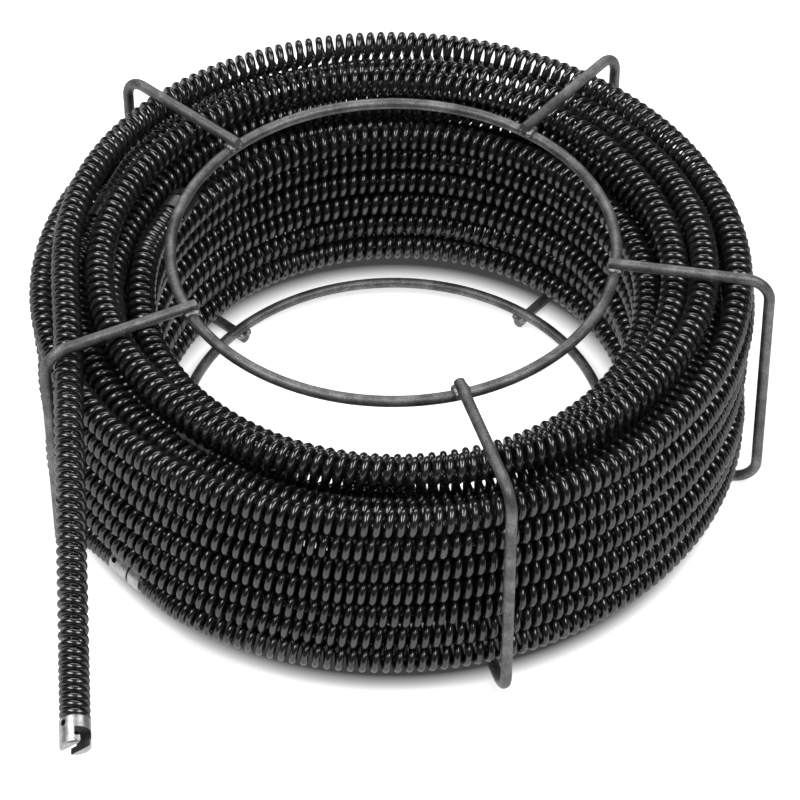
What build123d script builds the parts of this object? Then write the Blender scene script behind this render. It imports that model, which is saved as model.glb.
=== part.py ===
from build123d import *
import os
from math import cos, sin, radians, sqrt

# Sectional drain-cleaning cable coiled in a welded wire carrier.
# Millimetres, +Z up.  The origin is on the carrier's axis at floor level.

os.makedirs("parts", exist_ok=True)

# ---------------------------------------------------------------- carrier
rod_dia = 6.0
ring_radius = 120.0            # centreline of the top and bottom rings
bend_radius = 13.0             # centreline of the spoke bends
weld_sink = 0.3                # how far a spoke is let into a ring by the weld
weld_bead_radius = 4.9
bottom_spoke_z = rod_dia / 2   # the lower spoke wires stand on the floor
bottom_ring_z = bottom_spoke_z + rod_dia - weld_sink
top_ring_z = 145.0
top_spoke_z = top_ring_z + rod_dia - weld_sink
spoke_inner_radius = 116.5     # the spoke wires end just inside the ring centreline

# azimuth in degrees, radius of the leg at the top and at the bottom (hand made, not quite regular)
spokes = [
    (206.8, 203.0, 203.5),
    (137.6, 203.5, 203.0),
    (51.4, 203.0, 204.0),
    (349.8, 203.0, 205.0),
    (286.8, 203.5, 203.0),
]

# ---------------------------------------------------------------- cable
cable_dia = 15.9               # outside of the spring cable
open_bore_dia = 13.07          # bore of a tube as heavy as the open-wound spring
grip_bore_dia = 8.6            # bore of the close-wound end that grips a coupling shank
shank_len = 20.0               # length of spring gripped on a shank
end_points = 4                 # points at each end of a run that all carry an arc

# flexible tail: round noses at its two bending points, with room to turn
bend_gap = 5.5
tail_bend_y = (-122.0, -196.0)
tail_points = 14               # the bends are looked for among this many last points

# ---------------------------------------------------------------- couplings
coupling_radius = 15.8 / 2     # outside of both halves
female_len = 15.0              # female body, spring end to mating face
male_len = 9.0                 # male collar, spring end to mating face
face_gap = 0.05                # play between the two faces
body_chamfer = 0.5             # at the spring end of both halves and the male mating face
female_lip_chamfer = 0.7       # at the female mating face

shank_radius = 8.5 / 2
shank_tip_radius = shank_radius - 0.9
shank_tip_z = -shank_len + 0.5
shank_taper_z = -shank_len + 3

slot_neck_width, slot_head_width = 6.6, 11.2   # T-slot: at the lip, in the pocket
slot_lip_height, slot_pocket_height = 3.6, 5.0
neck_width, head_width = 6.2, 10.8             # T-head
neck_height, head_height = 3.8, 4.5
head_end_inset = 0.15          # ends of the T-head inside the round of the body

key_hole_dia = 3.4             # side hole for the release pin
key_hole_z = 3.4               # from the spring end of the body
latch_hole_dia = 3.4           # axial hole in the slot floor that the detent drops into
hole_overrun = 1.2             # how far each hole runs past the other's centreline

# detent plunger and its stepped bore in the T-head
male_tip_z = male_len + neck_height + head_height
bore_floor_z = 3.0
bore_dia, mouth_dia = 4.4, 3.2
mouth_height = 1.4
nose_dia, nose_reach = 3.0, 2.4                # nose and how far it stands out
nose_taper_height, nose_taper_width = 1.1, 0.9
collar_dia, collar_height = 4.1, 3.3
collar_chamfer = 0.3
collar_top_z = male_tip_z - mouth_height - 0.1
collar_base_z = collar_top_z - collar_height
nose_tip_z = male_tip_z + nose_reach

# return spring behind the plunger
spring_wire_dia, spring_mean_dia, spring_turns = 0.6, 3.3, 6.0
spring_play = 0.05             # at each end of the spring

# ---------------------------------------------------------------- lay of the cable
# Each coupling: middle of its mating faces, direction of the cable there, and turn of
# the T-slot about the cable in degrees.  The last row is the free end.
coupling_stations = [
    ((-118.72, 62.46, 119.66), (-0.40675, -0.91325, -0.02325), 25),
    ((-89.55, -99.46, 66.61), (0.73519, -0.6777, -0.01478), 100),
    ((83.47, -108.78, 14.55), (0.80651, 0.59122, -0.00158), 10),
    ((8.64, -152.05, 57.54), (0.99981, 0.00511, 0.01867), 60),
    ((-98.8, -114.66, 105.78), (0.76311, -0.64608, 0.01553), 140),
    ((-160.02, 51.22, 123.07), (-0.3409, -0.93996, -0.01625), 35),
    ((155.82, 57.49, 58.93), (-0.31984, 0.94727, -0.01958), 80),
    ((-137.76, -124.04, 21.88), (0.67276, -0.73973, 0.01412), 55),
    ((185.41, -6.47, 62.38), (0.04371, 0.99893, 0.01489), 155),
    ((-132.08, 127.55, 102.34), (-0.70699, -0.70711, 0.01264), 50),
    ((-155.31, -303.04, 87.77), (0.0639, -0.96618, -0.24982), 45),
]

# Each section: the (x, y, z) points its centreline follows, from its male to its female end.
lay = [
    [
        (-135.6, 14.4, 118.5), (-136.4, -10.1, 118), (-132.7, -35.3, 117.6), (-124.5, -59.2, 117.2),
        (-112, -81, 116.7), (-95.8, -99.8, 116.4), (-76.5, -115.3, 116), (-54.7, -127.2, 115.6),
        (-31.2, -135, 115.3), (-6.7, -138.5, 114.9), (18, -137.5, 114.6), (42.2, -132.1, 114.2), (65, -122.5, 113.8),
        (85.7, -109, 113.4), (103.7, -92, 113), (118.4, -72, 112.5), (129.3, -49.8, 111.9), (136, -25.9, 111.4),
        (138.5, -1.3, 110.9), (136.5, 23.4, 110.3), (130.1, 47.3, 109.8), (119.6, 69.7, 109.3), (105.2, 89.9, 108.8),
        (87.5, 107.2, 108.2), (66.9, 120.9, 107.7), (44.1, 130.8, 107.2), (20, 136.3, 106.7), (-4.7, 137.2, 106.2),
        (-29.1, 133.6, 105.7), (-52.4, 125.6, 105.2), (-74, 113.4, 104.7), (-93.2, 97.7, 104.2), (-109.7, 79, 103.6),
        (-122.6, 57.9, 103), (-131.6, 34.9, 102.4), (-136.1, 10.7, 101.9), (-136, -14, 101.3),
        (-131.3, -38.2, 100.8), (-122.1, -61.1, 100.3), (-108.9, -82.1, 99.8), (-92.2, -100.5, 99.3),
        (-72.5, -115.7, 99), (-50.6, -127.2, 98.8), (-27, -134.6, 98.5), (-2.5, -137.7, 98.3), (22.2, -136.2, 98),
        (46.2, -130.2, 97.6), (68.8, -119.9, 97.2), (89.1, -105.7, 96.8), (106.5, -88.2, 96.3), (120.6, -67.7, 95.8),
        (130.7, -45.2, 95.3), (136.7, -21.1, 94.7), (138.4, 3.6, 94.2), (135.6, 28.2, 93.7), (128.6, 51.9, 93.2),
        (117.4, 74, 92.6), (102.5, 93.8, 92.1), (84.3, 110.6, 91.6), (63.5, 124, 91.1), (40.6, 133.4, 90.6),
        (16.3, 138.5, 90), (-8.4, 139.3, 89.5), (-32.9, 135.7, 89), (-56.4, 127.8, 88.5), (-78, 115.8, 88),
        (-97.3, 100.2, 87.4), (-113.4, 81.4, 86.9), (-126, 60.1, 86.4), (-134.6, 36.8, 85.9), (-138.9, 12.5, 85.5),
        (-138.9, -12.3, 85), (-134.5, -36.7, 84.5), (-125.9, -59.9, 84), (-113.4, -81.3, 83.6),
        (-97.3, -100.1, 83.2), (-78.1, -115.7, 82.8), (-56.4, -127.7, 82.5), (-33, -135.7, 82.2),
        (-8.5, -139.4, 81.9), (16.3, -138.7, 81.6), (40.5, -133.6, 81.2), (63.5, -124.3, 80.8), (84.4, -111.1, 80.4),
        (102.6, -94.4, 79.9), (117.6, -74.6, 79.4), (128.8, -52.6, 78.9), (136, -28.9, 78.4), (138.9, -4.3, 77.8),
        (137.4, 20.5, 77.3), (131.5, 44.5, 76.8), (121.5, 67.2, 76.2), (107.6, 87.7, 75.7), (90.3, 105.4, 75.2),
        (70.1, 119.7, 74.7), (47.7, 130.2, 74.2), (23.8, 136.6, 73.7), (-0.9, 138.6, 73.1), (-25.6, 136.2, 72.6),
        (-49.4, 129.4, 72.1), (-71.6, 118.5, 71.6), (-91.5, 103.8, 71.1), (-108.5, 85.8, 70.6), (-122, 65.1, 70.1),
        (-131.8, 42.3, 69.5), (-137.4, 17.9, 69), (-138.7, -7.3, 68.5), (-135.6, -32.4, 67.9), (-128, -55.8, 67.5),
    ],
    [
        (-48.9, -129.4, 65.9), (-25.3, -135.7, 65.7), (0.3, -137.6, 65.4), (25.7, -135.1, 65.1),
        (49.9, -128.1, 64.7), (72.2, -117, 64.3), (91.9, -102.1, 63.8), (108.5, -83.9, 63.2), (121.4, -62.9, 62.6),
        (130.2, -39.9, 61.9), (134.6, -15.7, 61.2), (134.6, 9.1, 60.5), (130.4, 33.6, 59.9), (122.3, 57, 59.4),
        (110.4, 78.8, 59), (94.8, 98, 58.6), (76.1, 114, 58.2), (54.7, 126.2, 57.7), (31.4, 134.3, 57.2),
        (6.9, 138, 56.7), (-17.9, 137.2, 56.2), (-42.1, 131.9, 55.7), (-64.9, 122.4, 55.2), (-85.7, 109, 54.7),
        (-103.7, 92, 54.2), (-118.4, 72.1, 53.7), (-129.4, 49.9, 53.1), (-136.3, 26.1, 52.6), (-138.9, 1.5, 52.1),
        (-137, -23.2, 51.7), (-130.8, -47.1, 51.2), (-120.4, -69.6, 50.7), (-106.1, -89.8, 50.3),
        (-88.5, -107.1, 49.9), (-68, -120.9, 49.5), (-45.4, -130.9, 49.1), (-21.3, -136.7, 48.7),
        (3.5, -138.3, 48.4), (28.1, -135.5, 48.1), (51.8, -128.4, 47.9), (73.9, -117.3, 47.6), (93.6, -102.4, 47.2),
        (110.3, -84.1, 46.8), (123.5, -63.2, 46.2), (132.8, -40.3, 45.6), (137.9, -16, 45), (138.6, 8.7, 44.4),
        (135, 33.2, 43.9), (127, 56.6, 43.4), (115, 78.2, 42.9), (99.3, 97.4, 42.3), (80.4, 113.4, 41.8),
        (59, 125.8, 41.3), (35.7, 134.2, 40.8), (11.3, 138.3, 40.3), (-13.4, 138, 39.8), (-37.7, 133.4, 39.2),
        (-60.8, 124.4, 38.7), (-81.9, 111.5, 38.2), (-100.5, 95.1, 37.7), (-115.8, 75.7, 37.2), (-127.4, 53.8, 36.7),
        (-135, 30.3, 36.2), (-138.3, 5.8, 35.7), (-137.1, -19, 35.2), (-131.6, -43.1, 34.7), (-121.8, -65.8, 34.3),
        (-108.2, -86.4, 33.8), (-91, -104.3, 33.4), (-70.9, -118.7, 33), (-48.6, -129.3, 32.6),
        (-24.7, -135.8, 32.2), (0, -137.7, 31.9), (24.6, -135.2, 31.6), (48.4, -128.3, 31.4), (70.5, -117.2, 31.2),
        (90.3, -102.4, 30.9), (107.2, -84.2, 30.5), (120.5, -63.4, 29.9), (130, -40.5, 29.3), (135.1, -16.3, 28.7),
        (135.8, 8.4, 28.1), (132, 32.8, 27.6), (123.8, 56.2, 27.1), (111.6, 77.7, 26.5), (95.7, 96.7, 26),
        (76.6, 112.4, 25.5), (55, 124.5, 24.9), (31.6, 132.5, 24.4), (7.1, 136.1, 23.8), (-17.6, 135.3, 23.3),
        (-41.8, 130, 22.7), (-64.6, 120.4, 22.1), (-85.3, 106.9, 21.6), (-103.3, 89.8, 21.1), (-117.8, 69.8, 20.5),
        (-128.5, 47.5, 20), (-135, 23.6, 19.5), (-137, -1, 18.9), (-134.6, -25.6, 18.4), (-127.7, -49.3, 17.8),
        (-116.7, -71.5, 17.2), (-102.1, -91.4, 16.8), (-84.3, -108.7, 16.4), (-63.8, -122.7, 16.1),
        (-41, -133, 15.7), (-16.6, -139.4, 15.3), (8.7, -141.3, 15), (33.2, -138.3, 14.7),
    ],
    [
        (121.4, -75.2, 14.5), (133.4, -53.9, 14.5), (141.6, -29.9, 14.5), (145.4, -4.8, 14.5), (144.7, 20.3, 14.5),
        (139.6, 44.6, 14.5), (130.5, 67.7, 14.5), (117.7, 88.9, 14.5), (101.7, 107.7, 14.6), (82.7, 123.5, 14.7),
        (61.4, 136.1, 14.8), (38.2, 144.9, 15), (14, 149.8, 15.2), (-10.8, 150.6, 15.5), (-35.3, 147.3, 15.8),
        (-58.9, 140, 16.1), (-81.1, 129, 16.5), (-101.1, 114.5, 16.9), (-118.5, 96.9, 17.3), (-132.8, 76.7, 17.7),
        (-143.6, 54.4, 18.2), (-150.6, 30.6, 18.7), (-153.6, 6.1, 19.2), (-152.5, -18.6, 19.7),
        (-147.3, -42.8, 20.3), (-138.3, -65.8, 20.8), (-125.7, -87.1, 21.3), (-109.9, -106.2, 21.8),
        (-91.4, -122.7, 22.3), (-70.6, -136.2, 22.8), (-48, -146.2, 23.3), (-24.1, -152.5, 23.9),
        (0.5, -154.8, 24.4), (25.2, -153, 24.9), (49.3, -147.2, 25.3), (72.1, -137.5, 25.8), (93, -124.3, 26.2),
        (111.6, -108, 26.6), (127.3, -88.8, 27), (139.7, -67.4, 27.4), (148.5, -44.3, 27.8), (153.5, -20, 28.1),
        (154.5, 4.7, 28.4), (151.6, 29.3, 28.8), (144.9, 53.1, 29.1), (134.4, 75.5, 29.5), (120.5, 96, 29.8),
        (103.4, 114, 30.1), (83.8, 129, 30.5), (62, 140.7, 30.8), (38.6, 148.8, 31.1), (14.2, 153, 31.4),
        (-10.6, 153.4, 31.8), (-35, 149.8, 32.2), (-58.7, 142.3, 32.5), (-80.8, 131.2, 32.9), (-100.9, 116.8, 33.3),
        (-118.4, 99.3, 33.8), (-132.9, 79.2, 34.2), (-143.9, 57.1, 34.7), (-151.3, 33.5, 35.2), (-154.7, 9, 35.7),
        (-154.2, -15.8, 36.2), (-149.7, -40.1, 36.7), (-141.4, -63.4, 37.2), (-129.4, -85.1, 37.7),
        (-114.2, -104.6, 38.2), (-96, -121.4, 38.7), (-75.4, -135.1, 39.2), (-52.9, -145.3, 39.7),
        (-29, -151.8, 40.2), (-4.4, -154.5, 40.7), (20.3, -153.2, 41.2), (44.5, -148, 41.7), (67.6, -139, 42.2),
        (89, -126.5, 42.7), (108.2, -110.8, 43.1), (124.6, -92.3, 43.5), (137.8, -71.4, 44), (147.5, -48.6, 44.3),
        (153.5, -24.6, 44.7), (155.5, 0, 45.1), (153.5, 24.7, 45.4), (147.7, 48.8, 45.8), (138, 71.6, 46.1),
        (124.9, 92.5, 46.5), (108.5, 111.1, 46.9), (89.5, 126.9, 47.2), (68.1, 139.4, 47.6), (45.1, 148.4, 48),
        (20.9, 153.7, 48.3), (-3.9, 155, 48.7), (-28.5, 152.4, 49.1), (-52.4, 145.9, 49.5), (-74.9, 135.7, 49.9),
        (-95.6, 122, 50.3), (-113.8, 105.3, 50.8), (-129.1, 85.9, 51.2), (-141.3, 64.3, 51.7), (-149.8, 41, 52.2),
        (-154.5, 16.8, 52.6), (-155.4, -8, 53.1), (-152.3, -32.5, 53.6), (-145.4, -56.3, 54), (-134.8, -78.7, 54.5),
        (-120.8, -99.3, 54.9), (-103.6, -117.5, 55.4), (-83.6, -132.6, 55.8), (-61.5, -144, 56.2),
    ],
    [
        (58.7, -145.8, 58.4), (80.4, -134, 58.9), (100.8, -118.1, 59.4), (118.4, -99.4, 60), (132.5, -78.7, 60.6),
        (142.8, -56.2, 61.3), (149.2, -32.6, 62), (151.7, -8.2, 62.8), (150.2, 16.4, 63.5), (145, 40.6, 64.1),
        (136.5, 63.9, 64.5), (124.7, 85.7, 64.6), (109.7, 105.2, 64.6), (91.7, 122.1, 64.7), (71.2, 135.6, 64.8),
        (48.7, 145.6, 65), (24.7, 151.8, 65.2), (0.1, 154, 65.5), (-24.5, 152.2, 65.9), (-48.6, 146.4, 66.2),
        (-71.4, 136.9, 66.6), (-92.3, 123.9, 67), (-111, 107.6, 67.4), (-126.8, 88.7, 67.9), (-139.4, 67.4, 68.3),
        (-148.4, 44.5, 68.8), (-153.8, 20.3, 69.4), (-155.3, -4.4, 70), (-152.9, -29, 70.6), (-146.5, -52.8, 71.2),
        (-136.3, -75.3, 71.7), (-122.6, -95.9, 72.1), (-105.8, -114, 72.5), (-86.3, -129.2, 72.8),
        (-64.7, -141.2, 73.2), (-41.5, -149.7, 73.5), (-17.2, -154.4, 73.9), (7.5, -155.2, 74.3), (32, -152.1, 74.8),
        (55.7, -145.2, 75.2), (78, -134.6, 75.7), (98.3, -120.6, 76.1), (116.2, -103.6, 76.6), (131.2, -83.9, 77.1),
        (142.8, -62.1, 77.6), (150.8, -38.7, 78.2), (154.9, -14.4, 78.7), (155.1, 10.3, 79.3), (151.4, 34.7, 79.8),
        (143.8, 58.2, 80.2), (132.6, 80.2, 80.6), (118.1, 100.2, 81), (100.6, 117.7, 81.3), (80.6, 132.2, 81.7),
        (58.6, 143.4, 82), (35.1, 151.1, 82.4), (10.7, 154.9, 82.8), (-14, 154.8, 83.2), (-38.3, 150.8, 83.6),
        (-61.8, 143, 84), (-83.7, 131.6, 84.3), (-103.5, 116.8, 84.7), (-120.6, 99.1, 85.1), (-134.8, 78.8, 85.5),
        (-145.5, 56.6, 85.8), (-152.6, 32.9, 86.2), (-155.8, 8.4, 86.7), (-155.1, -16.3, 87.2),
        (-150.4, -40.5, 87.6), (-141.9, -63.7, 88.1), (-129.9, -85.3, 88.5), (-114.6, -104.7, 88.9),
        (-96.4, -121.3, 89.2), (-75.7, -134.9, 89.6), (-53.2, -145.1, 89.9), (-29.4, -151.5, 90.3),
        (-4.8, -154.2, 90.7), (19.9, -152.9, 91.1), (44, -147.8, 91.6), (67.1, -138.9, 92), (88.5, -126.6, 92.5),
        (107.6, -110.9, 92.9), (124, -92.5, 93.4), (137.2, -71.6, 93.9), (147, -48.9, 94.5), (152.9, -25, 95),
        (155, -0.4, 95.6), (153, 24.3, 96.1), (147.2, 48.2, 96.6), (137.6, 71, 97), (124.4, 91.9, 97.5),
        (108.1, 110.5, 97.9), (89.1, 126.2, 98.3), (67.7, 138.6, 98.6), (44.6, 147.5, 99), (20.5, 152.5, 99.4),
        (-4.2, 153.4, 99.8), (-28.6, 150.3, 100.3), (-52.2, 143.2, 100.7), (-74.3, 132.4, 101.1),
        (-94.6, 118.1, 101.4), (-112.6, 101.1, 101.6), (-127.9, 81.7, 101.8), (-140, 60.3, 102),
        (-148.6, 37.3, 102.4), (-153.3, 13, 102.9), (-154.1, -12.1, 103.6), (-151, -37.3, 104.3),
        (-144.1, -61.4, 104.8),
    ],
    [
        (-57.3, -144.1, 106.6), (-33.9, -151.7, 106.9), (-8.6, -155.4, 107.3), (16.9, -154.8, 107.7),
        (41.6, -150, 108.1), (64.9, -141.4, 108.5), (86.4, -129.1, 109), (105.7, -113.7, 109.4),
        (122.3, -95.4, 109.9), (135.9, -74.7, 110.4), (146.1, -52.1, 110.9), (152.5, -28.2, 111.5), (155, -3.6, 112),
        (153.6, 21.1, 112.6), (148.3, 45.3, 113.1), (139.2, 68.3, 113.6), (126.5, 89.5, 114), (110.6, 108.5, 114.4),
        (91.9, 124.8, 114.8), (70.9, 137.8, 115.3), (48, 147.3, 115.7), (24, 153.1, 116.1), (-0.7, 155, 116.5),
        (-25.5, 152.9, 116.8), (-49.6, 147, 117.2), (-72.4, 137.3, 117.5), (-93.1, 124, 117.7), (-111, 107.3, 117.9),
        (-125.8, 87.8, 118.1), (-137.4, 65.9, 118.3), (-146.1, 42.6, 118.7), (-151.6, 18.5, 119.3),
        (-153.4, -6, 119.9), (-150.9, -30.4, 120.5), (-144.3, -54.1, 121), (-133.8, -76.5, 121.5),
        (-119.6, -96.9, 121.9), (-102.4, -114.7, 122.3), (-82.5, -129.5, 122.6), (-60.6, -140.9, 123),
        (-37, -148.7, 123.3), (-12.6, -152.5, 123.6), (12.2, -152.4, 124), (36.6, -148.3, 124.4),
        (60, -140.3, 124.8), (81.8, -128.6, 125.2), (101.5, -113.6, 125.7), (118.5, -95.6, 126.2),
        (132.4, -75.1, 126.7), (142.8, -52.7, 127.2), (149.4, -28.8, 127.8), (152.2, -4.2, 128.3),
        (150.9, 20.5, 128.9), (145.7, 44.7, 129.4), (136.7, 67.7, 130), (124.1, 89.1, 130.5), (108.3, 108.1, 130.9),
        (89.7, 124.4, 131.4), (68.6, 137.4, 131.9), (45.8, 147, 132.4), (21.7, 152.8, 132.8), (-2.9, 154.7, 133.3),
        (-27.6, 152.6, 133.7), (-51.6, 146.6, 134.1), (-74.4, 136.8, 134.6), (-95.3, 123.6, 134.9),
        (-113.8, 107.2, 135.3), (-129.6, 88.1, 135.6), (-142.1, 66.8, 136), (-151.2, 43.7, 136.2),
        (-156.5, 19.5, 136.5), (-158, -5.2, 136.7), (-155.6, -29.8, 136.9), (-149.5, -53.8, 137.1),
        (-139.7, -76.6, 137.2), (-126.6, -97.6, 137.4), (-110.3, -116.3, 137.4), (-91.4, -132.3, 137.5),
        (-70.3, -145.2, 137.5), (-47.5, -154.7, 137.4), (-23.4, -160.7, 137.3), (1.2, -162.9, 137.1),
        (26, -161.4, 136.9), (50.2, -156.1, 136.6), (73.3, -147.3, 136.4), (94.8, -135.1, 136.1),
        (114.3, -119.8, 135.7), (131.3, -101.7, 135.4), (145.4, -81.4, 135), (156.2, -59.1, 134.5),
        (163.7, -35.5, 134.1), (167.5, -11, 133.6), (167.7, 13.7, 133.1), (164.2, 38.2, 132.6), (157.2, 62, 132),
        (146.7, 84.4, 131.4), (133, 105, 130.9), (116.4, 123.4, 130.3), (97.3, 139.2, 129.7), (76.1, 152, 129.1),
        (53.3, 161.6, 128.5), (29.3, 167.7, 127.9), (4.7, 170.4, 127.3), (-20, 169.6, 126.8), (-44.5, 165.2, 126.2),
        (-68.2, 157.4, 125.7), (-90.6, 146.2, 125.1), (-111, 131.9, 124.7), (-128.8, 114.5, 124.2),
    ],
    [
        (-172.8, 2.1, 122.1), (-171.1, -22.5, 121.4), (-165.5, -47.5, 120.7), (-156.4, -71.4, 120),
        (-144.2, -93.4, 119.3), (-129.1, -113.1, 118.7), (-111.5, -130.3, 118.1), (-91.5, -144.9, 117.5),
        (-69.7, -156.5, 116.9), (-46.5, -164.9, 116.3), (-22.2, -169.9, 115.7), (2.4, -171.4, 115.1),
        (27.1, -169.3, 114.5), (51.2, -163.7, 113.9), (74.2, -154.6, 113.3), (95.7, -142.4, 112.8),
        (115.2, -127.2, 112.2), (132.3, -109.3, 111.6), (146.7, -89.2, 111.1), (158, -67.2, 110.5),
        (165.9, -43.8, 109.9), (170.4, -19.5, 109.4), (171.4, 5.3, 108.9), (168.7, 29.9, 108.3),
        (162.6, 53.8, 107.8), (153, 76.6, 107.3), (140.3, 97.9, 106.7), (124.6, 117, 106.2), (106.4, 133.7, 105.7),
        (85.9, 147.6, 105.2), (63.6, 158.3, 104.6), (40, 165.7, 104.1), (15.5, 169.5, 103.5), (-9.2, 169.7, 102.9),
        (-33.6, 166.2, 102.1), (-57.2, 159.1, 101.2), (-79.5, 148.5, 100.3), (-100.1, 134.8, 99.4),
        (-118.6, 118.3, 98.8), (-135, 99.7, 98.5), (-148.6, 79.1, 98.5), (-159.1, 56.8, 98.6), (-166.2, 33.2, 98.5),
        (-169.6, 8.7, 98.3), (-169.4, -16.1, 97.9), (-165.6, -40.6, 97.3), (-158.4, -64.3, 96.7),
        (-147.5, -86.5, 96.3), (-133.3, -106.8, 95.9), (-116.2, -124.9, 95.5), (-96.9, -140.3, 95),
        (-75.6, -152.9, 94.4), (-52.7, -162.3, 93.8), (-28.7, -168.2, 93.2), (-4.1, -170.7, 92.5),
        (20.6, -169.5, 91.9), (44.9, -164.8, 91.3), (68.2, -156.6, 90.6), (90.2, -145.1, 90), (110.2, -130.6, 89.3),
        (127.9, -113.4, 88.7), (143, -93.7, 88.1), (155, -72.1, 87.5), (163.9, -49, 86.9), (169.3, -24.9, 86.3),
        (171.2, -0.2, 85.6), (169.5, 24.5, 85), (164.2, 48.6, 84.4), (155.6, 71.8, 83.8), (143.6, 93.4, 83.1),
        (128.7, 113.1, 82.4), (111.1, 130.5, 81.7), (91.1, 145.1, 81), (69.3, 156.8, 80.3), (46, 165.2, 79.7),
        (21.8, 170.1, 79), (-2.9, 171.5, 78.4), (-27.5, 169.4, 77.8), (-51.6, 163.7, 77.2), (-74.6, 154.6, 76.6),
        (-96.1, 142.3, 76.1), (-115.5, 127.1, 75.5), (-132.6, 109.2, 75), (-146.9, 89, 74.5), (-158.2, 67, 74),
        (-166.2, 43.6, 73.5), (-170.7, 19.2, 73), (-171.8, -5.5, 72.5), (-169.4, -30.2, 71.9), (-163.5, -54.2, 71.4),
        (-154.1, -77, 70.9), (-141.4, -98.2, 70.4), (-125.7, -117.4, 70), (-107.4, -134.1, 69.5), (-87, -148, 69),
        (-64.7, -158.9, 68.5), (-41.2, -166.5, 68.1), (-16.8, -170.7, 67.6), (8, -171.4, 67.1), (32.6, -168.6, 66.7),
        (56.5, -162.3, 66.2), (79.2, -152.4, 65.6), (100.1, -139.1, 64.9), (118.9, -123, 64.2),
        (135.2, -104.4, 63.5), (148.5, -83.6, 62.8), (158.6, -60.8, 62), (165.4, -36.6, 61.2), (168.9, -11.7, 60.4),
    ],
    [
        (135.7, 104.1, 58), (120, 122.8, 57.5), (100.8, 139.4, 57.1), (79.1, 152.8, 56.6), (56, 162.7, 56.1),
        (31.9, 168.9, 55.6), (7.3, 171.6, 55.1), (-17.4, 170.7, 54.5), (-41.8, 166.3, 53.9), (-65.3, 158.6, 53.3),
        (-87.5, 147.5, 52.8), (-107.8, 133.4, 52.2), (-126, 116.5, 51.6), (-141.5, 97.2, 51), (-154, 75.9, 50.5),
        (-163.3, 53, 49.9), (-169.2, 28.9, 49.4), (-171.6, 4.3, 48.9), (-170.3, -20.5, 48.3), (-165.5, -44.8, 47.8),
        (-157.2, -68.1, 47.3), (-145.7, -90, 46.8), (-131.1, -110, 46.3), (-113.8, -127.7, 45.8),
        (-94.1, -142.8, 45.3), (-72.5, -154.9, 44.8), (-49.3, -163.7, 44.3), (-25.2, -169.1, 43.8),
        (-0.5, -171, 43.3), (24.2, -169.3, 42.8), (48.4, -164.1, 42.3), (71.6, -155.4, 41.8), (93.4, -143.5, 41.3),
        (113.1, -128.6, 40.8), (130.5, -110.9, 40.3), (145.1, -91, 39.9), (156.6, -69, 39.4), (164.8, -45.7, 39),
        (169.6, -21.4, 38.6), (170.8, 3.4, 38.1), (168.4, 28, 37.7), (162.4, 52, 37.3), (153.1, 75, 36.8),
        (140.5, 96.3, 36.3), (125, 115.6, 35.9), (106.8, 132.5, 35.4), (86.5, 146.6, 34.9), (64.3, 157.5, 34.4),
        (40.7, 165.2, 33.8), (16.3, 169.4, 33.3), (-8.4, 170.1, 32.7), (-33, 167.1, 32.2), (-56.9, 160.7, 31.6),
        (-79.6, 150.8, 31), (-100.6, 137.7, 30.4), (-119.5, 121.7, 29.8), (-135.9, 103.1, 29.2),
        (-149.3, 82.3, 28.6), (-159.7, 59.8, 28), (-166.6, 36, 27.4), (-169.9, 11.5, 26.8), (-169.7, -13.3, 26.3),
        (-165.7, -37.7, 25.8), (-158.2, -61.2, 25.4), (-147.3, -83.4, 25), (-133.4, -103.9, 24.5),
        (-116.9, -122.4, 24), (-98, -138.5, 23.2), (-77.1, -151.7, 22.4), (-54.5, -161.8, 21.7), (-30.7, -168.4, 21),
        (-6.1, -171.5, 20.3), (18.6, -171, 19.8), (43.1, -166.9, 19.3), (66.7, -159.4, 18.8), (88.9, -148.6, 18.4),
        (109.5, -134.8, 18), (127.8, -118.1, 17.7), (143.7, -99.1, 17.4), (156.7, -78, 17.1), (166.6, -55.3, 16.9),
        (173.2, -31.4, 16.7), (176.4, -6.8, 16.6), (176.1, 17.9, 16.5), (172.4, 42.4, 16.4), (165.3, 66.2, 16.4),
        (155, 88.7, 16.4), (141.7, 109.5, 16.4), (125.5, 128.4, 16.4), (107, 144.8, 16.5), (86.4, 158.5, 16.5),
        (64, 169.2, 16.7), (40.5, 176.8, 16.8), (16.1, 181.1, 16.9), (-8.7, 182.1, 17.1), (-33.3, 179.6, 17.3),
        (-57.4, 173.9, 17.5), (-80.5, 164.9, 17.8), (-102.2, 152.9, 18), (-122.1, 138.1, 18.3),
        (-139.8, 120.8, 18.6), (-155, 101.3, 18.9), (-167.5, 79.9, 19.1), (-177, 57.1, 19.4), (-183.4, 33.2, 19.7),
        (-186.7, 8.5, 20), (-187, -16.7, 20.3), (-184.1, -41.8, 20.6), (-177.9, -66.2, 20.9),
    ],
    [
        (-100.8, -159.3, 22.6), (-79.1, -171.3, 23), (-55.1, -180.5, 23.4), (-30.2, -186.3, 23.8),
        (-5.1, -188.5, 24.2), (19.7, -187.4, 24.6), (44.1, -183, 24.9), (67.7, -175.5, 25.3), (90.2, -165, 25.7),
        (111.1, -151.7, 26.1), (130.1, -135.8, 26.4), (146.8, -117.5, 26.8), (161, -97.1, 27.2),
        (172.3, -75.1, 27.6), (180.7, -51.7, 27.9), (185.9, -27.5, 28.3), (187.9, -2.8, 28.7), (186.6, 22, 29),
        (182.1, 46.4, 29.4), (174.4, 69.9, 29.7), (163.6, 92.3, 30.1), (150, 113, 30.4), (133.8, 131.8, 30.8),
        (115.3, 148.3, 31.1), (94.7, 162.2, 31.5), (72.6, 173.2, 31.8), (49.1, 181.3, 32.2), (24.8, 186.1, 32.5),
        (0, 187.8, 32.9), (-24.7, 186.2, 33.2), (-49, 181.3, 33.6), (-72.5, 173.2, 34), (-94.7, 162.2, 34.4),
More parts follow.
